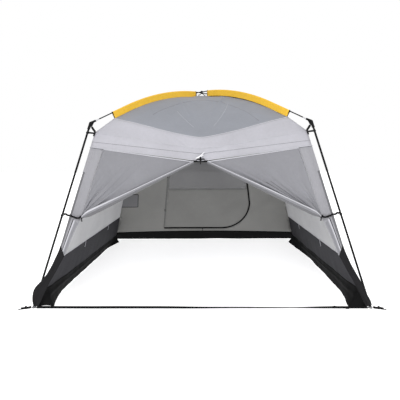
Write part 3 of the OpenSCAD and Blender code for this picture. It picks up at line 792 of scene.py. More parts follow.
def make_roof():
    for side, word in enumerate(SIDE_NAMES):
        roof = make_piece("roof_cloth_" + word, grid(44, 72, roof_place(side)), ROOF_CLOTH, thick=CLOTH_THICK,
                          stands_for=["roof_" + word])
        width, length = 1.92, 1.04
        brow = make_piece("brow_cloth_" + word, grid(30, 96, brow_place(side)), PALE_CLOTH, thick=CLOTH_THICK,
                          stands_for=["brow_" + word])
        seams = []
        top = roof_place(side)
        # A darker arc line across the roof panel, drawn as a tape.
        arc = []
        for k in range(41):
            across = math.sin(math.radians(mix(-78, 88, k / 40)))
            down = 0.98 - 0.71 * math.sqrt(max(0.0, 1 - abs(across) ** 2.6))
            arc.append(top(down, 0.5 + 0.35 * across) + LIFT[side] * 0.0012)
        place = brow_place(side)
        stitch = [place(0.70 + 0.12 * abs(j / 45 - 1), j / 90) + LIFT[side] * 0.0012 for j in range(91)]
        make_piece("roof_arc_and_seam_" + word, [tape(arc, LIFT[side], 0.006), tape(stitch, LIFT[side], 0.005)],
                   SEAM_AND_ARC_CLOTH)
        # Lighter tapes along two ridges of each roof panel: painted highlight on the creases.
        ridges = []
        for (s1, t1), (s2, t2) in ROOF_RIDGES:
            line = [top(mix(t1, t2, k / 24), (1 + mix(s1, s2, k / 24)) / 2) + LIFT[side] * 0.0012
                    for k in range(25)]
            ridges.append(tape(line, LIFT[side], 0.005))
        make_piece("roof_fold_highlights_" + word, ridges, RIDGE_HIGHLIGHT_CLOTH)
        for t, width, start, end in BROW_TAPES:
            path = [place(t, mix(start, end, j / 90)) + LIFT[side] * 0.0012 for j in range(91)]
            seams.append(tape(path, LIFT[side], width))
        make_piece("brow_seams_" + word, seams, HEM_CLOTH)


# ---------------------------------------------------------------- sleeves on the roof poles
def sleeve_path(top):
    """Points of a pole's centre under its sleeve, from the peak outwards."""
    count = 60
    rs = [mix(SLEEVE_START_R, SLEEVE_END_R, i / count) for i in range(count + 1)]
    return [(r, pole_z(top, r)) for r in rs]


# Which point of a sleeve's outline lies at its sewn lower edge
SLEEVE_SEAM_POINT = 21


def sleeve_ring(t, az):
    """A sleeve's outline round its pole, as (side, up): round over the pole and closed at the seam."""
    r = 0.0088
    pts = []
    for k in range(13):
        a = math.radians(-14 + 208 * k / 12)
        pts.append((r * math.cos(a), r * math.sin(a)))
    low, steps = -SLEEVE_DROP + 0.001, 9
    for k in range(1, steps + 1):
        m = k / steps
        pts.append((mix(-r * 0.97, -0.0016, m ** 0.8), mix(-0.002, low, m)))
    for k in range(steps, 0, -1):
        m = k / steps
        pts.append((mix(r * 0.97, 0.0016, m ** 0.8), mix(-0.002, low, m)))
    out = []
    for a, b in pts:
        depth = min(1.0, max(0.0, -b / SLEEVE_DROP))
        shift = 5 * uneven(t * 12, az, b * 9)
        pucker = 0.0022 * math.sin(t * 150 + shift) * depth * (1 - depth) * 4
        ripple = 0.0016 * uneven(t * 30, b * 40, az * 3 + (1 if a > 0 else 7))
        out.append((a + (pucker + ripple) * (1 if a > 0 else -1) * min(1, depth * 3), b))
    return out


def make_sleeves():
    for name, top, corners in (("sleeve_a", PEAK_A, ("br", "fl")), ("sleeve_b", PEAK_B, ("bl", "fr"))):
        shapes, bindings = [], []
        for c in corners:
            sx, sy = CORNERS[c]
            away = Vector((sx, sy, 0)).normalized()
            across = Vector((-away.y, away.x, 0))
            path = sleeve_path(top)
            points, cut = [], []
            run, last = 0.0, None
            count = 0
            for i, (r, z) in enumerate(path):
                t = i / (len(path) - 1)
                ahead = path[min(i + 1, len(path) - 1)]
                behind = path[max(i - 1, 0)]
                slope = math.atan2(ahead[1] - behind[1], ahead[0] - behind[0])
                normal = Vector((-math.sin(slope) * away.x, -math.sin(slope) * away.y, math.cos(slope)))
                centre = away * r + above(z)
                if last is not None:
                    run += (centre - last).length
                last = centre
                outline = sleeve_ring(t, sx + 2 * sy)
                count = len(outline)
                for k, (a, b) in enumerate(outline):
                    points.append(centre + across * a + normal * b)
                    cut.append((run, b if k < count / 2 else -b))
            faces = grid_faces(len(path), count, closed=True)
            shapes.append((points, faces, cut))
            low = [points[i * count + SLEEVE_SEAM_POINT] for i in range(len(path))]
            bindings.append(swept(low, flat_section(0.006, 0.007)))
            for i in (0, len(path) - 1):
                loop = [points[i * count + k] for k in range(count)]
                centre = sum(loop, Vector()) / count
                ring_path = [centre + (q - centre) * 1.05 for q in loop + loop[:1]]
                bindings.append(swept(ring_path, round_section(0.0022, 8), away))
        cloth = make_piece(name + "_cloth", shapes, YELLOW, thick=0.0009,
                           stands_for=[name])
        binding = make_piece(name + "_binding", bindings, THREAD_DARK)


# ---------------------------------------------------------------- walls
def wall_fold(side, x, h, top, low):
    """How far a wall stands out of its plane: long soft folds between its corners."""
    span = max(0.05, half(h))
    edge = min(1.0, (1 - abs(x) / span) * 7)
    edge = edge * min(1.0, max(0.0, (top - h) * 9)) * min(1.0, max(0.0, (h - low) * 9))
    a, b = x + 0.9 * h, x - 0.9 * h
    long_way = uneven(a * 3.4, b * 0.7, side * 4.3)
    cross_way = uneven(b * 4.1, a * 0.6, side * 2.9 + 11)
    small = uneven(a * 15, b * 3.1, side + 5.0)
    return edge * (0.010 * long_way + 0.009 * cross_way + 0.003 * small)


def header_h(x):
    return up(header_z(x))


def wall_outline(low):
    """A wall's flat outline, from a height up to the brow's lower edge."""
    lower, end = up(low), up(HEADER_END_H)
    return [(-half(lower), lower), (half(lower), lower), (half(end), end),
            (0, up(HEADER_MID_H)), (-half(end), end)]


def window_outline():
    """A side window's flat outline, inside the wall's by a margin."""
    margin_x, margin_top = 0.110, 0.090
    x_low = corner_x(SILL_H) - margin_x
    x_high = corner_x(HEADER_END_H) - margin_x
    top = up(header_z(x_high)) - margin_top
    return [(-x_low, up(SILL_H)), (x_low, up(SILL_H)), (x_high, top),
            (0, up(HEADER_MID_H) - margin_top), (-x_high, top)]


def edge_line(outline, place, step=0.04):
    """The closed line of an outline, laid on a wall."""
    path = [place(x, h) for x, h in sampled(outline, step)]
    return path + [path[0]]


def make_side_walls():
    for side, word in ((RIGHT, "right"), (LEFT, "left")):
        low, top = up(BAND_TOP_H), up(HEADER_MID_H) + 0.08

        def place(x, h, out=0.0):
            return lay(side, x, h, wall_fold(side, x, h, top, low) + out)

        outline, window = wall_outline(BAND_TOP_H), window_outline()
        wall_piece = make_piece("wall_cloth_" + word, panel(outline, [window], place, 0.032), WALL_CLOTH,
                                thick=0.001, stands_for=["wall_" + word])
        mesh = make_piece("mesh_cloth_" + word, panel(window, [], place, 0.034), SIDE_MESH,
                          thick=0.0008, stands_for=["mesh_" + word])

        def band_place(v, u):
            h = mix(up(BAND_TOP_H), up(BAND_LOW_H), v)
            x = (2 * u - 1) * half(h)
            tuck = 0.004 * uneven(x * 9, v * 1.5, side * 6.1)
            sway = 0.012 * uneven(x * 2.2, v * 1.1, side * 2.7)
            fold = v * min(1.0, (1 - abs(2 * u - 1)) * 10)
            ahead = -1 if side == RIGHT else 1
            pull = corner_pull(h * COS_T, half(h) - ahead * x)
            return lay(side, x + ahead * pull, h, (tuck + sway) * fold + 0.9 * pull)

        band = make_piece("band_cloth_" + word, grid(16, 120, band_place), DARK_CLOTH, thick=CLOTH_THICK,
                          stands_for=["band_" + word])
        out = WALL_OUT[side]
        foot = sampled([(-half(low), low + 0.004), (half(low), low + 0.004)], 0.04, False)
        seams = [tape([p - out * 0.0015 for p in edge_line(window, place)], out, 0.020),
                 tape([place(x, h, -0.0012) for x, h in foot], out, 0.012)]
        tapes = make_piece("wall_seams_" + word, seams, HEM_CLOTH)
        hem = [band_place(0.985, j / 120) for j in range(121)]
        thread = [band_place(0.012, j / 60) - out * 0.0012 for j in range(61)]
        hem_tapes = [tape(hem, out, 0.018, 0.0012), tape(thread, out, 0.008)]
        hem_piece = make_piece("band_hem_" + word, hem_tapes, SKIRT_CLOTH)
        declare(outline, holes=[window])
        declare(window)
        make_skirt(side, word, band_place)


def corner_pull(z, d):
    """How far the walls' front corners are pulled out to the feet, at a distance from the corner."""
    return 0.050 * smooth((0.30 - z) / 0.26) * math.exp(-max(0.0, d) / 0.16)


def skirt_in(u, side):
    """How far the ground edge of a skirt lies inside the wall's hem."""
    if side == RIGHT:
        plain = 0.026 + 0.080 * max(0, 1 - 5 * u) ** 1.5
        plain += 0.078 * smooth((u - 0.60) / 0.40)
        plain += 0.034 * max(0, 1 - u) ** 2 * min(1, 0.6 + 8 * u)
    else:
        plain = 0.026 + 0.122 * max(0, 1 - 5 * u) ** 1.5
        plain += 0.085 * max(0, 6 * u - 5) ** 1.6 - 0.012
    return plain + 0.004 * uneven(u * 11, side * 3.0, 1.7) + 0.002 * math.sin(u * 26 + side)


SKIRT_WEB = 0.03


def make_skirt(side, word, band_place):
    """The mud skirt: sewn inside the band, it sweeps in over the ground and is webbed to the front foot."""
    sign = 1 if side == RIGHT else -1

    def place(v, u):
        top_z = mix(0.145, 0.078, u)
        top = band_place((BAND_TOP_H - top_z) / (BAND_TOP_H - BAND_LOW_H), u if side == RIGHT else 1 - u)
        top = top - WALL_OUT[side] * 0.0035
        web = min(1.0, u / SKIRT_WEB)
        low_x = mix(1.500, corner_x(BAND_LOW_H) - skirt_in(u, side), web)
        low_y = mix(-1.515, -1.508, web) + 2.728 * max(0.0, u - SKIRT_WEB) / (1 - SKIRT_WEB)
        arch = (0.014 if sign < 0 else 0.0) * math.sin(math.pi * web)
        low_z = 0.004 + arch + max(0.0, 0.006 * uneven(u * 23, 3.1, side))
        p = top.lerp(Vector((sign * low_x, low_y, low_z)), v)
        ruck = 0.006 * uneven(u * 24, v * 2, side * 5.0) * v * (1 - 0.6 * v)
        hang = 0.16 * (abs(top.x) - low_x) * math.sin(math.pi * v)
        ridge = 0.007 * bump(v, 0.40, 0.10) * min(1.0, u * 30)
        p.x += sign * (ruck + hang - ridge)
        return p

    skirt = make_piece("skirt_cloth_" + word, grid(18, 180, place), SKIRT_CLOTH, thick=CLOTH_THICK,
                       stands_for=["skirt_" + word])


# ---------------------------------------------------------------- back wall and its door
def hinge_x(z):
    return DOOR_LEFT_X + DOOR_LEFT_LEAN * (z - DOOR_LOW_H)


def latch_x(z):
    return DOOR_RIGHT_X - DOOR_RIGHT_LEAN * (z - DOOR_LOW_H - DOOR_CORNER_R)


def door_outline(g=0.0, h=0.0, steps=18):
    low, high = up(DOOR_LOW_H) - g, up(DOOR_TOP_H) + g
    cx, cy = DOOR_RIGHT_X - DOOR_CORNER_R, up(DOOR_LOW_H) + DOOR_CORNER_R
    tx, ty = latch_x(DOOR_TOP_H) - DOOR_TOP_R, up(DOOR_TOP_H) - DOOR_TOP_R
    points = [(hinge_x(DOOR_LOW_H - g) + h, low)]
    for i in range(steps + 1):
        a = math.radians(-90 + 90 * i / steps)
        points.append((cx + (DOOR_CORNER_R + g) * math.cos(a), cy + (DOOR_CORNER_R + g) * math.sin(a)))
    for i in range(steps + 1):
        a = math.radians(90 * i / steps)
        points.append((tx + (DOOR_TOP_R + g) * math.cos(a), ty + (DOOR_TOP_R + g) * math.sin(a)))
    return points + [(hinge_x(DOOR_TOP_H + g) + h, high)]


def back(x, h, out=0.0):
    """A point of the back wall, with x the world's."""
    return lay(BACK, -x, h, out)


def back_fold(x, h):
    """Diagonal drag lines in the back wall and door, none along the door's edges."""
    edge = 1.0
    for inset in (half(h) - abs(x), header_h(x) - h, h - up(BACK_BAND_H)):
        edge = edge * min(1.0, max(0.0, inset * 8))
    a, b = x * 0.55 - h, x + 0.55 * h
    drag = uneven(a * 9.0, b * 1.1, 3.3)
    broad = uneven(a * 2.2, b * 2.0, 8.8)
    small = uneven(a * 24, b * 4, 5.5)
    right = smooth(x / 0.5) * smooth((1.0 - h) / 0.4)
    return edge * (0.006 * broad + (0.003 + 0.006 * right) * drag + 0.0015 * small)


def door_edge(x, h):
    """Zero on the door's edges and 1 inside it."""
    low, high = up(DOOR_LOW_H), up(DOOR_TOP_H)
    z = h * COS_T
    if h > low + DOOR_CORNER_R:
        latch = latch_x(z) - x
    else:
        over = max(0, x - (DOOR_RIGHT_X - DOOR_CORNER_R))
        latch = DOOR_CORNER_R - math.hypot(over, h - low - DOOR_CORNER_R)
    return min(1.0, min(h - low, high - h, x - hinge_x(z), latch) * 8)


# The zip coil's outline, as (across, out)
COIL_RING = ((-0.004, -0.0006), (-0.002, -0.0024), (0.002, -0.0024), (0.004, -0.0006),
             (0.004, 0.0006), (0.002, 0.0022), (-0.002, 0.0022), (-0.004, 0.0006))


def make_back():
    def place(x, h):
        return back(x, h, back_fold(x, h) * min(1.0, max(0.0, -door_edge(x, h) * 1.6)))

    gap = 0.011
    doorway = door_outline(gap, -0.0015)
    outline = wall_outline(BACK_BAND_H - 0.035)
    # The back wall's cloth carries painted shade: a darker grey than its own.
    wall_piece = make_piece("back_cloth", panel(outline, [doorway], place, 0.034), BACK_SHADED_CLOTH, thick=0.001,
                            stands_for=["wall_back"])
    inwards = -WALL_OUT[BACK]
    rim = sampled(door_outline(0.004, -0.006), 0.03, closed=False)
    facing = tape([back(x, h, -0.0042) for x, h in rim], inwards, 0.023)
    zip_tape = make_piece("back_zip_tape", [facing], SKIRT_CLOTH)
    declare(outline, holes=[doorway])

    def band_place(v, u):
        h = mix(up(BACK_BAND_H) - 0.030 * (2 * u - 1) ** 2, up(0.006), v)
        x = (2 * u - 1) * half(h)
        fold = v * min(1.0, (1 - abs(2 * u - 1)) * 10)
        sway = 0.010 * uneven(x * 2.4, v, 4.0) + 0.004 * uneven(x * 11, v * 2, 9.0)
        return back(x, h, -0.0022 + sway * fold)

    band = make_piece("back_band_cloth", grid(9, 120, band_place), SKIRT_CLOTH, thick=CLOTH_THICK,
                      stands_for=["back_band"])

    def door_place(x, h, out=0.0):
        flat_rim = max(0.0, min(1.0, door_edge(x, h)))
        return back(x, h, back_fold(x, h) * flat_rim + out)

    sill = up(SILL_H)
    window = clip_above(door_outline(-0.014, 0.014), sill)
    # The door's cloth carries painted shade: a darker grey than its own.
    door = make_piece("door_cloth", panel(door_outline(), [window], door_place, 0.03), DOOR_SHADED_CLOTH,
                      body="back_door", thick=0.001, stands_for=["door_panel"])
    glass = make_piece("door_window_mesh", panel(window, [], door_place, 0.03), WINDOW_CLOTH,
                       body="back_door", thick=0.0008, stands_for=["door_window"])
    around = sampled(window, 0.03) + [window[0]]
    border = tape([door_place(x, h, -0.0012) for x, h in around], inwards, 0.016)
    heights = np.linspace(up(DOOR_LOW_H), up(DOOR_TOP_H), 30)
    hinge = tape([back(hinge_x(h * COS_T) - 0.006, h, -0.0022) for h in heights], inwards, 0.024)
    make_piece("door_hinge_tape", [hinge], DOOR_SEAM)
    trim = make_piece("door_seams", [border], DOOR_SEAM, body="back_door")
    declare(door_outline(), holes=[window])
    declare(window)
    zip_line = door_outline(0.004)
    path = [back(x, h) for x, h in sampled(zip_line, 0.02, closed=False)]
    coil = swept(path, lambda t: [(a, b, a) for a, b in COIL_RING], WALL_OUT[BACK])
    make_piece("door_zip_coil", [coil], ZIP_TEETH, body="back_door",
               stands_for=["door_zip"])


def clip_above(outline, h):
    """The part of an outline above a height."""
    kept = []
    for a, b in zip(outline, outline[1:] + outline[:1]):
        if a[1] >= h:
            kept.append(a)
        if (a[1] >= h) != (b[1] >= h):
            k = (h - a[1]) / (b[1] - a[1])
            kept.append((mix(a[0], b[0], k), h))
    return kept


def make_pocket():
    """A flat net pocket on the left of the back wall, with an elastic top edge."""
    base = up(0.560)
    corners = [(-1.330, base), (-1.060, base), (-1.040, base + 0.215), (-1.270, base + 0.215)]

    def place(v, u):
        low = Vector(corners[0]).lerp(Vector(corners[1]), u)
        high = Vector(corners[3]).lerp(Vector(corners[2]), u)
        p = low.lerp(high, v)
        belly = math.sin(math.pi * u) * math.sin(math.pi * min(1.0, 0.15 + v * 0.75))
        gather = 0.0025 * math.sin(u * 70) * v ** 3
        return back(p.x, p.y, -0.003 - 0.007 * belly - gather)

    net = make_piece("pocket_net", grid(18, 60, place), POCKET_CLOTH, thick=0.0008,
                     stands_for=["pocket"])
    edges = [(j / 40, 0) for j in range(41)] + [(1, i / 12) for i in range(1, 13)]
    around = [place(v, u) for u, v in edges] + [place(1, 1 - j / 40) for j in range(1, 41)] + \
             [place(1 - i / 12, 0) for i in range(1, 13)]
    trim = make_piece("pocket_binding", [tape(around, -WALL_OUT[BACK], 0.010, 0.0012)], DARK_CLOTH)


def make_toggles():
    """Toggles on loops beside the door's hinge edge, which hold the door when it is rolled."""
    shapes, loops = [], []
    for z in (0.507, 1.060):
        x = hinge_x(z) - 0.014
        at = back(x, up(z), -0.0052)
        way = (back(x, up(z) + 0.01, -0.0032) - at).normalized()
        bar = [at + way * s for s in (-0.021, -0.016, -0.006, 0, 0.006, 0.016, 0.021)]
        waisted = round_section(lambda t: 0.0042 + 0.0013 * abs(2 * t - 1) ** 2, 12)
        shapes.append(swept(bar, waisted, Vector((1, 0, 0))))
        side = (back(x + 0.01, up(z), -0.0032) - at).normalized()
        out = WALL_OUT[BACK]
        loops.append(cord([at + side * 0.012 - out * -0.001, at + side * 0.004 - out * 0.001,
                           at - way * 0.001 - out * 0.0035, at - side * 0.004 - out * 0.001,
                           at - side * 0.010 + out * 0.001], 0.0011))
    make_piece("door_toggle_bars", shapes, PLASTIC, stands_for=["door_toggles"])
    make_piece("door_toggle_loops", loops, THREAD_DARK)


# ---------------------------------------------------------------- the open front
JAMB_TOP_X, JAMB_TIE_X = 0.956, 1.150
JAMB_TIP = (1.287, 0.438)
JAMB_DARK_H = 0.539


def mirrored(sign, p):
    return Vector((sign * p.x, p.y, p.z))


def front_at(sign, x, h, out):
    """A point of the front wall's plane on the right (sign 1) or left (-1) side."""
    return mirrored(sign, lay(FRONT, x, h, out))


def jamb_outline():
    return [(half(up(HEADER_END_H)), up(HEADER_END_H)), (JAMB_TOP_X, up(header_z(JAMB_TOP_X))),
            (1.062, up(1.115)), (JAMB_TIE_X, up(TIE_H)), (1.222, up(0.615)), (JAMB_TIP[0], up(JAMB_TIP[1])),
            (half(up(JAMB_DARK_H)), up(JAMB_DARK_H))]


def jamb_inner(h):
    """The jamb's inner edge at a distance up the wall's slope."""
    line = [(JAMB_TIP[0], up(JAMB_TIP[1])), (1.222, up(0.615)), (JAMB_TIE_X, up(TIE_H)), (1.062, up(1.115)),
            (JAMB_TOP_X, up(header_z(JAMB_TOP_X)))]
    for (x1, h1), (x2, h2) in zip(line, line[1:]):
        if h <= h2:
            return mix(x1, x2, (h - h1) / (h2 - h1))
    return line[-1][0]


JAMB_ROWS, JAMB_COLS = 110, 46


def jamb_finish(k):
    """Which cloth a face of the jamb shows: plain, bound edge, dark zip line, bright fold or net ply."""
    v, u = k // (JAMB_COLS - 1) / (JAMB_ROWS - 1), (k % (JAMB_COLS - 1) + 0.5) / (JAMB_COLS - 1)
    below = v > 0.700
    if u < 0.17 and v > 0.25 or u < 0.24 and below:
        return 1
    if below and 0.40 < u < 0.49:
        return 2
    if below and 0.49 < u < 0.62:
        return 3
    return 4 if below and u > 0.66 or 0.93 < u and v < 0.66 else 0


def make_jambs():
    for sign, word in ((1, "right"), (-1, "left")):
        def place(v, u):
            h_out = mix(up(HEADER_END_H), up(JAMB_DARK_H), v)
            h_in = mix(up(header_z(JAMB_TOP_X)), up(JAMB_TIP[1]), v)
            x, h = mix(half(h_out), jamb_inner(h_in), u), mix(h_out, h_in, u)
            mid = min(1.0, u * 1.6)
            fold = 0.007 * uneven(x * 6 + h * 1.5, h * 1.1, sign * 3.3)
            drag = 0.006 * math.exp(-abs(h - up(TIE_H) - (half(h) - x) * 0.4) / 0.03)
            below = smooth((v - 0.64) / 0.12)
            rib = 0.0050 * bump(u, 0.55, 0.06) - 0.0035 * bump(u, 0.445, 0.035)
            hollow = -0.010 * bump(u, 0.24, 0.10) * (1 - below)
            out = mid * (fold + drag + hollow) + rib * (0.25 + 0.75 * below)
            return front_at(sign, x, h, out)

        jamb = make_piece("jamb_cloth_" + word, grid(JAMB_ROWS, JAMB_COLS, place), JAMB_CLOTH,
                          thick=CLOTH_THICK, stands_for=["jamb_" + word])
        more_materials(jamb, [EDGE_CLOTH, THREAD_DARK, HEM_CLOTH, MESH_CLOTH], jamb_finish)
        hem = [place(k / 60, 0.985) + WALL_OUT[FRONT] * 0.0012 for k in range(61)]
        trim = make_piece("jamb_hem_" + word, [tape(hem, WALL_OUT[FRONT], 0.010)], JAMB_CLOTH)
        declare(jamb_outline())


def foot_place(sign):
    """The dark flap under a jamb, which passes in front of the leg's foot and spreads on the ground."""
    def place(v, u):
        z_out, z_in = mix(0.539, 0.029, v), mix(0.438, 0.012, v)
        turn = smooth(v)
        belly = math.sin(math.pi * min(1.0, max(0.0, (v - 0.45) / 0.60))) ** 2
        wide = 0.050 * turn + 0.056 * belly if sign < 0 else 0.067 * turn ** 1.6
        out = Vector((corner_x(z_out) + wide, -corner_x(z_out) - 0.087 * min(1, 1.6 * turn + 0.3 * v), z_out))
        x_in = 1.287 + 0.205 * v - 0.012 * smooth((v - 0.6) / 0.3)
        inner = Vector((x_in, -corner_x(z_in) - 0.087 * turn, z_in))
        p = out.lerp(inner, u)
        fold = math.sin(u * 9.5 + 2.4 * v + 1.2 * sign) * 0.011
        fold += 0.009 * uneven(u * 5, v * 4, sign * 7.1)
        p.y -= 0.004 + fold * v * (1 - 0.35 * v) - 0.006 * v
        p.x += 0.007 * uneven(v * 7, u * 2, sign * 4.1) * v
        p.z += (0.012 * smooth((v - 0.85) / 0.15) * abs(math.sin(2.6 * u + 0.5 * sign))
                * (1 - abs(2 * u - 1) ** 4))
        return mirrored(sign, p)
    return place


def make_feet():
    shapes = [grid(40, 22, foot_place(sign)) for sign in (1, -1)]
    flaps = make_piece("foot_flaps", shapes, FLAP_CLOTH, thick=0.0014,
                       stands_for=["jamb_feet"])


def flat_lay(p, out=0.0):
    return lay(FRONT, p[0], p[1], out)


CURTAIN_TOP = Vector((JAMB_TOP_X - 0.004, up(header_z(JAMB_TOP_X)) - 0.006))
CURTAIN_APEX = Vector((0.066, up(header_z(0.070)) - 0.018))
CURTAIN_TIE = Vector((1.143, up(TIE_H) + 0.006))
FLAT_STEPS, ROLL_STEPS = 84, 64
ROLL_TURNS = 2.2


def curtain_row(v, sign):
    """One row of a tied-back curtain, from the jamb across its pleats and round its rolled edge."""
    tie, top, apex = CURTAIN_TIE, CURTAIN_TOP, CURTAIN_APEX
    mean = top.lerp(apex, 0.55)
    spread = math.sqrt(v * v + 0.032 ** 2) if v > 0 else 0.032 - 0.25 * v
    flare = 0.0 if v > 0 else -v
    centre = tie + (mean - tie) * v
    centre = centre + Vector((0.10, -1.1)) * flare * 0.6
    width = (apex - top).length * spread
    radius = mix(0.0315, 0.0125, smooth((v - 0.10) / 0.90)) * (1 - 0.66 * bump(v, -0.002, 0.045))
    points = []
    count = 3.6
    pitch = width / count
    depth = min(0.30 * pitch, 0.012 + 0.006 * (1 - v) ** 2)
    axis_out = 0.004 + 0.014 * (1 - smooth(v * 3))
    for j in range(FLAT_STEPS):
        u = j / FLAT_STEPS
        p = centre + (top.lerp(apex, u) - mean) * spread
        sway = 0.8 * uneven(u * 2.5, v * 1.1, sign * 5.7)
        wave = math.sin(2 * math.pi * (count * u + sway)) * (0.7 + 0.6 * uneven(u * 4, v * 0.9, sign))
        wave = wave * abs(wave) ** 0.3
        fine = math.sin(2 * math.pi * (count * 2.3 * u + 3 * sway)) * 0.28 * (1 - v)
        edges = min(1.0, u * 14)
        head = min(1.0, (1.0 - v) * 3.5)
        belly = 0.010 * (1 - v) * math.sin(math.pi * min(1, u * 1.1))
        out = depth * (wave + fine) * edges * (0.12 + 0.88 * head) + belly
        turn_in = smooth((u - 0.86) / 0.14)
        out = mix(out, axis_out - radius, turn_in)
        points.append(flat_lay(p, out))
    axis = centre + (apex - mean) * spread
    along = (apex - tie).normalized()
    side = Vector((-along.y, along.x))
    if side.dot(top - tie) < 0:
        side = -side
    for k in range(ROLL_STEPS + 1):
        t = k / ROLL_STEPS
        a = math.radians(-90 - 360 * ROLL_TURNS * t)
        lobes = 1 + 0.10 * math.cos(2 * a + 7 * v + sign) * smooth((1 - v) * 1.2)
        lobes += 0.05 * uneven(a, v * 6, sign * 2.0)
        r = radius * (1 - 0.30 * t) * lobes
        points.append(flat_lay(axis + side * r * math.cos(a), axis_out + r * math.sin(a)))
    return [mirrored(sign, p) for p in points]


def roll_finish(j, v, sign):
    """Which cloth a curtain's face shows: net, a painted highlight on the roll's crown, and painted shade on
    the roll's underside, along two folds of the right curtain and where the curtain turns into the roll.
    """
    turn = (j - FLAT_STEPS) / ROLL_STEPS * 360 * ROLL_TURNS % 360
    if j < FLAT_STEPS:
        u = j / FLAT_STEPS
        shaded = u > 0.955 or sign > 0 and v < 0.58 and (0.672 < u < 0.684 or 0.742 < u < 0.778)
        return 2 if shaded else 0
    return 1 if 195 < turn < 240 else 2 if 240 <= turn < 345 or 60 < turn < 150 else 0


def make_curtains():
    for sign, word in ((1, "right"), (-1, "left")):
        levels = [-0.016 + 0.016 * i / 4 for i in range(4)] + [0.12 * i / 22 for i in range(22)] + \
                 [0.12 + 0.88 * (i / 56) for i in range(57)]
        rows = [curtain_row(v, sign) for v in levels]
        cols = len(rows[0])
        points = [p for row in rows for p in row]
        cut = []
        for i, v in enumerate(levels):
            run = 0.0
            for j, p in enumerate(rows[i]):
                if j:
                    run += (p - rows[i][j - 1]).length
                cut.append((run, v * 1.15))
        cloth = make_piece("curtain_cloth_" + word, (points, grid_faces(len(rows), cols), cut), MESH_CLOTH,
                           thick=0.0008, stands_for=["curtain_" + word])

        def finish(k):
            return roll_finish(k % (cols - 1), levels[k // (cols - 1)], sign)

        # The roll's crown takes a painted highlight; its underside and some folds take painted shade.
        more_materials(cloth, [ROLL_HIGHLIGHT_CLOTH, FOLD_SHADE_CLOTH], finish)
        head = [mirrored(sign, flat_lay(CURTAIN_TOP.lerp(CURTAIN_APEX, j / 60) + Vector((0, 0.001)), 0.0015))
                for j in range(61)]
        make_piece("curtain_head_" + word, [tape(head, WALL_OUT[FRONT], 0.010)], HEM_CLOTH)


def flat_shaped(width, thick, across, out=lambda t: 1.0):
    """A flat outline scaled across and outwards by the share t along the bar."""
    def section(t):
        return [(a * across(t), b * out(t), a) for a, b, _ in flat_section(width, thick)(t)]
    return section


# Toggle bars at the doorway's top: points as (across, above, out of the wall), then the radius
APEX_TOGGLES = ((((0.007, 0.016, 0.0062), (0.022, 0.019, 0.0080), (0.040, 0.018, 0.0070)), 0.0062),
                (((0.038, 0.002, 0.0062), (0.054, 0.000, 0.0075), (0.074, 0.004, 0.0060)), 0.0058))
# Folded tips of cloth there, pale with a painted highlight: points as (across, above), then the width
APEX_FOLDS = ((((-0.044, 0.022), (-0.020, 0.036), (0.012, 0.060), (0.040, 0.092)), 0.020),
              (((0.004, 0.040), (0.022, 0.052), (0.030, 0.050)), 0.010))


def make_slider():
    """The slider at the doorway's top and the toggles beside it, with folded tips of cloth."""
    shapes = []
    h = up(HEADER_MID_H)
    for sign in (1, -1):
        for line, radius in APEX_TOGGLES:
            bar = [lay(FRONT, sign * x, h + y, out) for x, y, out in line]
            rounded = round_section(
                lambda t, r=radius: r * (0.55 + 0.45 * math.sin(math.pi * t) ** 0.5), 12)
            shapes.append(swept(curve_through(bar, 8), rounded))
        link = [lay(FRONT, sign * x, h + y, 0.0055)
                for x, y in ((0.034, 0.017), (0.042, 0.008), (0.046, 0.002))]
        shapes.append(cord(link, 0.0026))
    body = [lay(FRONT, 0, h + y, 0.0055) for y in (-0.006, 0.002, 0.012, 0.026, 0.040)]
    waisted = flat_shaped(0.017, 0.0085, lambda t: 0.75 + 0.25 * math.sin(math.pi * t))
    shapes.append(swept(body, waisted, WALL_OUT[FRONT]))
    make_piece("apex_slider", shapes, PLASTIC, stands_for=["front_zip_slider"])
    fold = []
    for line, width in APEX_FOLDS:
        tip = [lay(FRONT, x, h + y, 0.005 + 0.010 * math.sin(math.pi * k / 3.2))
               for k, (x, y) in enumerate(line)]
        pointed = flat_shaped(width, 0.004, lambda t: 1 - 0.85 * t)
        fold.append(swept(curve_through(tip, 6), pointed, WALL_OUT[FRONT]))
    make_piece("apex_fold", fold, APEX_HIGHLIGHT_CLOTH)


# ---------------------------------------------------------------- straps, rings and ground fittings
# How far a leg clip reaches inwards from the leg's axis
CLIP_REACH = 0.0145


def leg_at(c, z):
    sx, sy = CORNERS[c]
    return Vector((sx * (FOOT - LEAN * z), sy * (FOOT - LEAN * z), z))


def edge_at(c, z, out=0.0):
    sx, sy = CORNERS[c]
    return Vector((sx * (corner_x(z) + out), sy * (corner_x(z) + out), z))


def make_corner_straps():
    shapes = []
    for c, (sx, sy) in CORNERS.items():
        inner = -Vector((sx, sy, 0)).normalized()
        clip = leg_at(c, CORNER_CLIP_H) + inner * CLIP_REACH
        route = [clip, clip + inner * 0.010 - above(0.001), edge_at(c, 1.598, 0.003)]
        shapes.append(strap(route, 0.025, 0.015, above(1)))
        high = leg_at(c, CORNER_HOOK_H) + inner * 0.027
        low = edge_at(c, 1.616, 0.002)
        side = inner.cross(above(1))
        route = [low, low.lerp(high, 0.5) - above(0.003), high]
        shapes.append(strap(route, 0.022, 0.014, side.cross(inner)))
        patch = [edge_at(c, z, 0.0015) for z in (1.570, 1.595, 1.622)]
        shapes.append(swept(patch, flat_section(0.026, 0.003), -inner))
    make_piece("corner_webbing", shapes, WEBBING, stands_for=["corner_straps"])


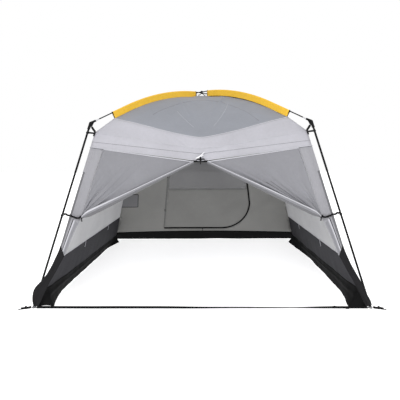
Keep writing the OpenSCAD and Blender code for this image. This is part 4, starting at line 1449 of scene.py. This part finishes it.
def make_tiebacks():
    shapes, knobs = [], []
    for c, (sx, sy) in CORNERS.items():
        inner = -Vector((sx, sy, 0)).normalized()
        clip = leg_at(c, TIE_CLIP_H) + inner * CLIP_REACH
        end = edge_at(c, TIE_EDGE_H, 0.004)
        sag = above(0.006)
        shapes.append(cord([clip, clip.lerp(end, 0.35) + sag, clip.lerp(end, 0.7) - sag * 0.4, end], 0.0092))
        shapes.append(ball(clip.lerp(end, 0.32) + sag, 0.0120, (1, 1, 0.8)))
        shapes.append(ring(end + inner * 0.002, inner.cross(above(1)), 0.007, 0.0017, 20, 8))
    for sign in (1, -1):
        start = front_at(sign, corner_x(TIE_EDGE_H) - 0.003, up(TIE_EDGE_H), 0.007)
        mid = front_at(sign, 1.226, up(0.800), 0.013)
        over = front_at(sign, 1.180, up(TIE_END_H), 0.020)
        tie = front_at(sign, TIE_END_X, up(TIE_END_H), 0.030)
        shapes.append(cord([start, mid, over, tie], 0.0085))
        knot = front_at(sign, CURTAIN_TIE.x + 0.002, CURTAIN_TIE.y - 0.004, 0.016)
        wraps = [ball(knot, 0.0135, (1.25, 0.9, 0.75))]
        for shift in (-0.006, 0.007):
            centre = knot + Vector((sign * shift, 0.004, shift * 0.6))
            wraps.append(ring(centre, (sign, 0.1, 0.5), 0.0125, 0.0045, 24, 8))
        shapes += wraps
        for dx, dh in ((-0.014, -0.004), (-0.020, -0.036)):
            knobs.append(front_at(sign, TIE_END_X + dx, up(TIE_END_H) + dh, 0.029))
        shapes.append(cord([tie, knobs[-2], knobs[-1]], 0.0050))
    make_piece("tieback_cords", shapes, WEBBING, stands_for=["tiebacks"])
    make_piece("tieback_toggles", [ball(k, 0.0052, (1.3, 1, 0.9)) for k in knobs[0::2]], PLASTIC)


def make_peak():
    shapes = []
    z = PEAK_A - POLE_R - 0.006
    shapes.append(ball((0, 0, z + 0.0025), 0.016, (1, 1, 0.2), 8, 24))
    for sx, sy in CORNERS.values():
        way = Vector((sx, sy, 0)).normalized()
        start, end = way * 0.011 + above(z + 0.002), way * 0.074 + above(z - 0.020)
        shapes.append(strap([start, start.lerp(end, 0.5) - above(0.002), end], 0.009, 0.0026))
    for turn in (0.0, math.pi / 2):
        loop = []
        for k in range(25):
            t = 2 * math.pi * k / 24
            q = Vector((0.0125 * math.cos(t), 0, PEAK_A + 0.006 + 0.0155 * math.sin(t)))
            loop.append(Vector((q.x * math.cos(turn), q.x * math.sin(turn), q.z)))
        across = Vector((math.sin(turn + 0.8), math.cos(turn + 0.8), 0.2))
        shapes.append(swept(loop, flat_section(0.010, 0.0016), across))
    make_piece("peak_webbing", shapes, WEBBING, stands_for=["peak_tie"])


STRAP_Y = -1.536
# The adjuster's loose tail, as (across, behind the strap, height)
TAIL_ROUTE = ((1.296, 0.002, 0.0095), (1.268, 0.004, 0.0110), (1.240, 0.006, 0.0085),
              (1.214, 0.008, 0.0120), (1.194, 0.009, 0.0175))
# A stake eyelet's outline, as (radius, height)
EYELET_RING = ((0.0060, 0.0008), (0.0060, 0.0032), (0.0075, 0.0036), (0.0118, 0.0030),
               (0.0128, 0.0020), (0.0118, 0.0010), (0.0075, 0.0006))
EYELET_STEPS = 32
RING_Z = 0.011
RING_R = 0.0175


def make_ground():
    count = 60
    path = []
    for i in range(count + 1):
        t = i / count
        x = mix(-GROUND_STRAP_END_X, GROUND_STRAP_END_X, t)
        lift = 0.0095 + 0.0022 * math.sin(math.pi * t) * (1 + 0.6 * uneven(t * 9, 0, 0))
        y = STRAP_Y - 0.007 * math.sin(math.pi * t) + 0.004 * uneven(t * 5, 2.0, 0)
        path.append(Vector((x, y, lift)))

    def tip(i_share):
        a = 0.75 * (1 - smooth((i_share - 0.30) / 0.4)) + 0.55 * smooth((i_share - 0.76) / 0.16)
        a += 0.12 * uneven(i_share * 7, 5.0, 1.0)
        return Vector((0, -math.sin(a), math.cos(a)))

    webbing = swept(path, flat_section(0.024, 0.0016), tip)
    links, shapes = [], [webbing]
    for sign in (1, -1):
        centre = Vector((sign * (FOOT - LEAN * RING_Z), -(FOOT - LEAN * RING_Z), RING_Z))
        grip = centre + Vector((-sign, -1, 0)).normalized() * RING_R
        links.append(ring(grip, (sign, -1, 0), 0.0052, 0.0013, 24, 8))
        near = Vector((sign * 1.492, STRAP_Y, 0.004))
        end = grip - Vector((-sign * 0.004, -0.002, 0.0))
        shapes.append(strap([near, near.lerp(grip, 0.5) + above(0.001), end], 0.010, 0.002))
    make_piece("ground_webbing", shapes, WEBBING, stands_for=["ground_strap"])
    tail = [Vector((x, STRAP_Y + y, z)) for x, y, z in TAIL_ROUTE]
    make_piece("buckle_tail", [strap(tail, 0.016, 0.0040, Vector((0, -0.6, 1)))], WEBBING,
               body="strap_buckle")
    make_piece("ground_links", links, STEEL)
    eyelets, tabs, adjusters = [], [], []
    for sx, sy in ((1, 1), (1, -1), (-1, 1), (-1, -1)):
        foot = Vector((sx * FOOT, sy * FOOT, 0))
        eye = Vector((sx * mount["stake_eyelet_br"].x, sy * mount["stake_eyelet_br"].y, 0.002))
        way = (eye - foot)
        way.z = 0
        length = way.length
        way.normalize()
        across = Vector((-way.y, way.x, 0))
        first = foot + way * 0.021 + above(RING_Z - 0.001)
        tilt = Vector((0, -0.9 if sy < 0 else 0.9, 1)).normalized()
        tabs.append(strap([first, foot + way * 0.030 + above(0.0095), foot + way * 0.045 + above(0.0075),
                           foot + way * (length * 0.6) + across * 0.003 + above(0.009),
                           foot + way * (length - 0.012) + above(0.0075)], 0.018, 0.012, tilt))
        plate, cut = [], []
        for rr, zz in EYELET_RING:
            for k in range(EYELET_STEPS):
                a = 2 * math.pi * k / EYELET_STEPS
                plate.append(Vector((eye.x + rr * math.cos(a), eye.y + rr * math.sin(a), zz)))
                cut.append((rr * math.cos(a), rr * math.sin(a)))
        faces = []
        for i in range(len(EYELET_RING)):
            row, after = i * EYELET_STEPS, (i + 1) % len(EYELET_RING) * EYELET_STEPS
            for k in range(EYELET_STEPS):
                m = (k + 1) % EYELET_STEPS
                faces.append((row + k, row + m, after + m, after + k))
        eyelets.append((plate, faces, cut))
        mid = foot + way * (length * 0.5 + 0.007)
        block = [mid + way * s + above(0.0125) for s in (-0.0085, -0.006, -0.002, 0.002, 0.006, 0.0085)]
        crowned = flat_shaped(0.026, 0.024, lambda t: 0.88 + 0.12 * math.sin(math.pi * t),
                              lambda t: 0.7 + 0.3 * math.sin(math.pi * t))
        adjusters.append(swept(block, crowned))
    make_piece("stake_webbing", tabs, WEBBING, stands_for=["stake_tabs"])
    make_piece("stake_eyelets", eyelets, PLASTIC)
    make_piece("stake_adjusters", adjusters, PLASTIC)


# A gear loop, as (across, below its seam, out of the wall)
LOOP_ROUTE = ((0.0, 0.0, -0.002), (0.004, 0.035, -0.006), (0.002, 0.075, -0.007),
              (-0.004, 0.078, -0.007), (-0.005, 0.035, -0.005), (-0.003, 0.0, -0.002))


def make_loops():
    """Small pale loops sewn to the seam above the dark bands of the side walls."""
    shapes = []
    for side in (RIGHT, LEFT):
        for x in (-0.62, 0.45):
            x = x if side == LEFT else -x
            top = up(BAND_TOP_H) + 0.006
            pts = [lay(side, x + dx, top - down, out) for dx, down, out in LOOP_ROUTE]
            shapes.append(cord(pts, 0.0017, steps=6, count=8))
    make_piece("gear_loops", shapes, HEM_CLOTH)


def dress(nodes, material, bevel=0.0):
    """Better finish for CAD parts that keep their own shape."""
    for node in nodes:
        o = bpy.data.objects[node]
        for k in range(len(o.material_slots)):
            o.material_slots[k].link = "OBJECT"
            o.material_slots[k].material = material
        if not o.material_slots:
            o.data.materials.append(material)
        if bevel:
            edge = o.modifiers.new("edges", "BEVEL")
            edge.width = bevel
            edge.segments = 2
            edge.limit_method = "ANGLE"
            edge.angle_limit = math.radians(40)


def dress_frame():
    dress(["roof_pole_a", "roof_pole_b"], POLE_FINISH, 0.0004)
    dress(["upper_leg_" + c for c in CORNERS] + ["lower_leg_" + c for c in CORNERS], LEG_FINISH, 0.0004)
    dress(["elbow_" + c for c in CORNERS] + ["foot_cap_" + c for c in CORNERS], PLASTIC, 0.0012)
    dress(["leg_clips", "strap_buckle", "zip_slider", "front_zip_pull"], PLASTIC, 0.0006)
    dress(["pole_ferrules", "corner_rings"], STEEL)


make_roof()
make_sleeves()
make_side_walls()
make_back()
make_pocket()
make_toggles()
make_jambs()
make_feet()
make_curtains()
make_slider()
make_corner_straps()
make_tiebacks()
make_peak()
make_ground()
make_loops()
dress_frame()
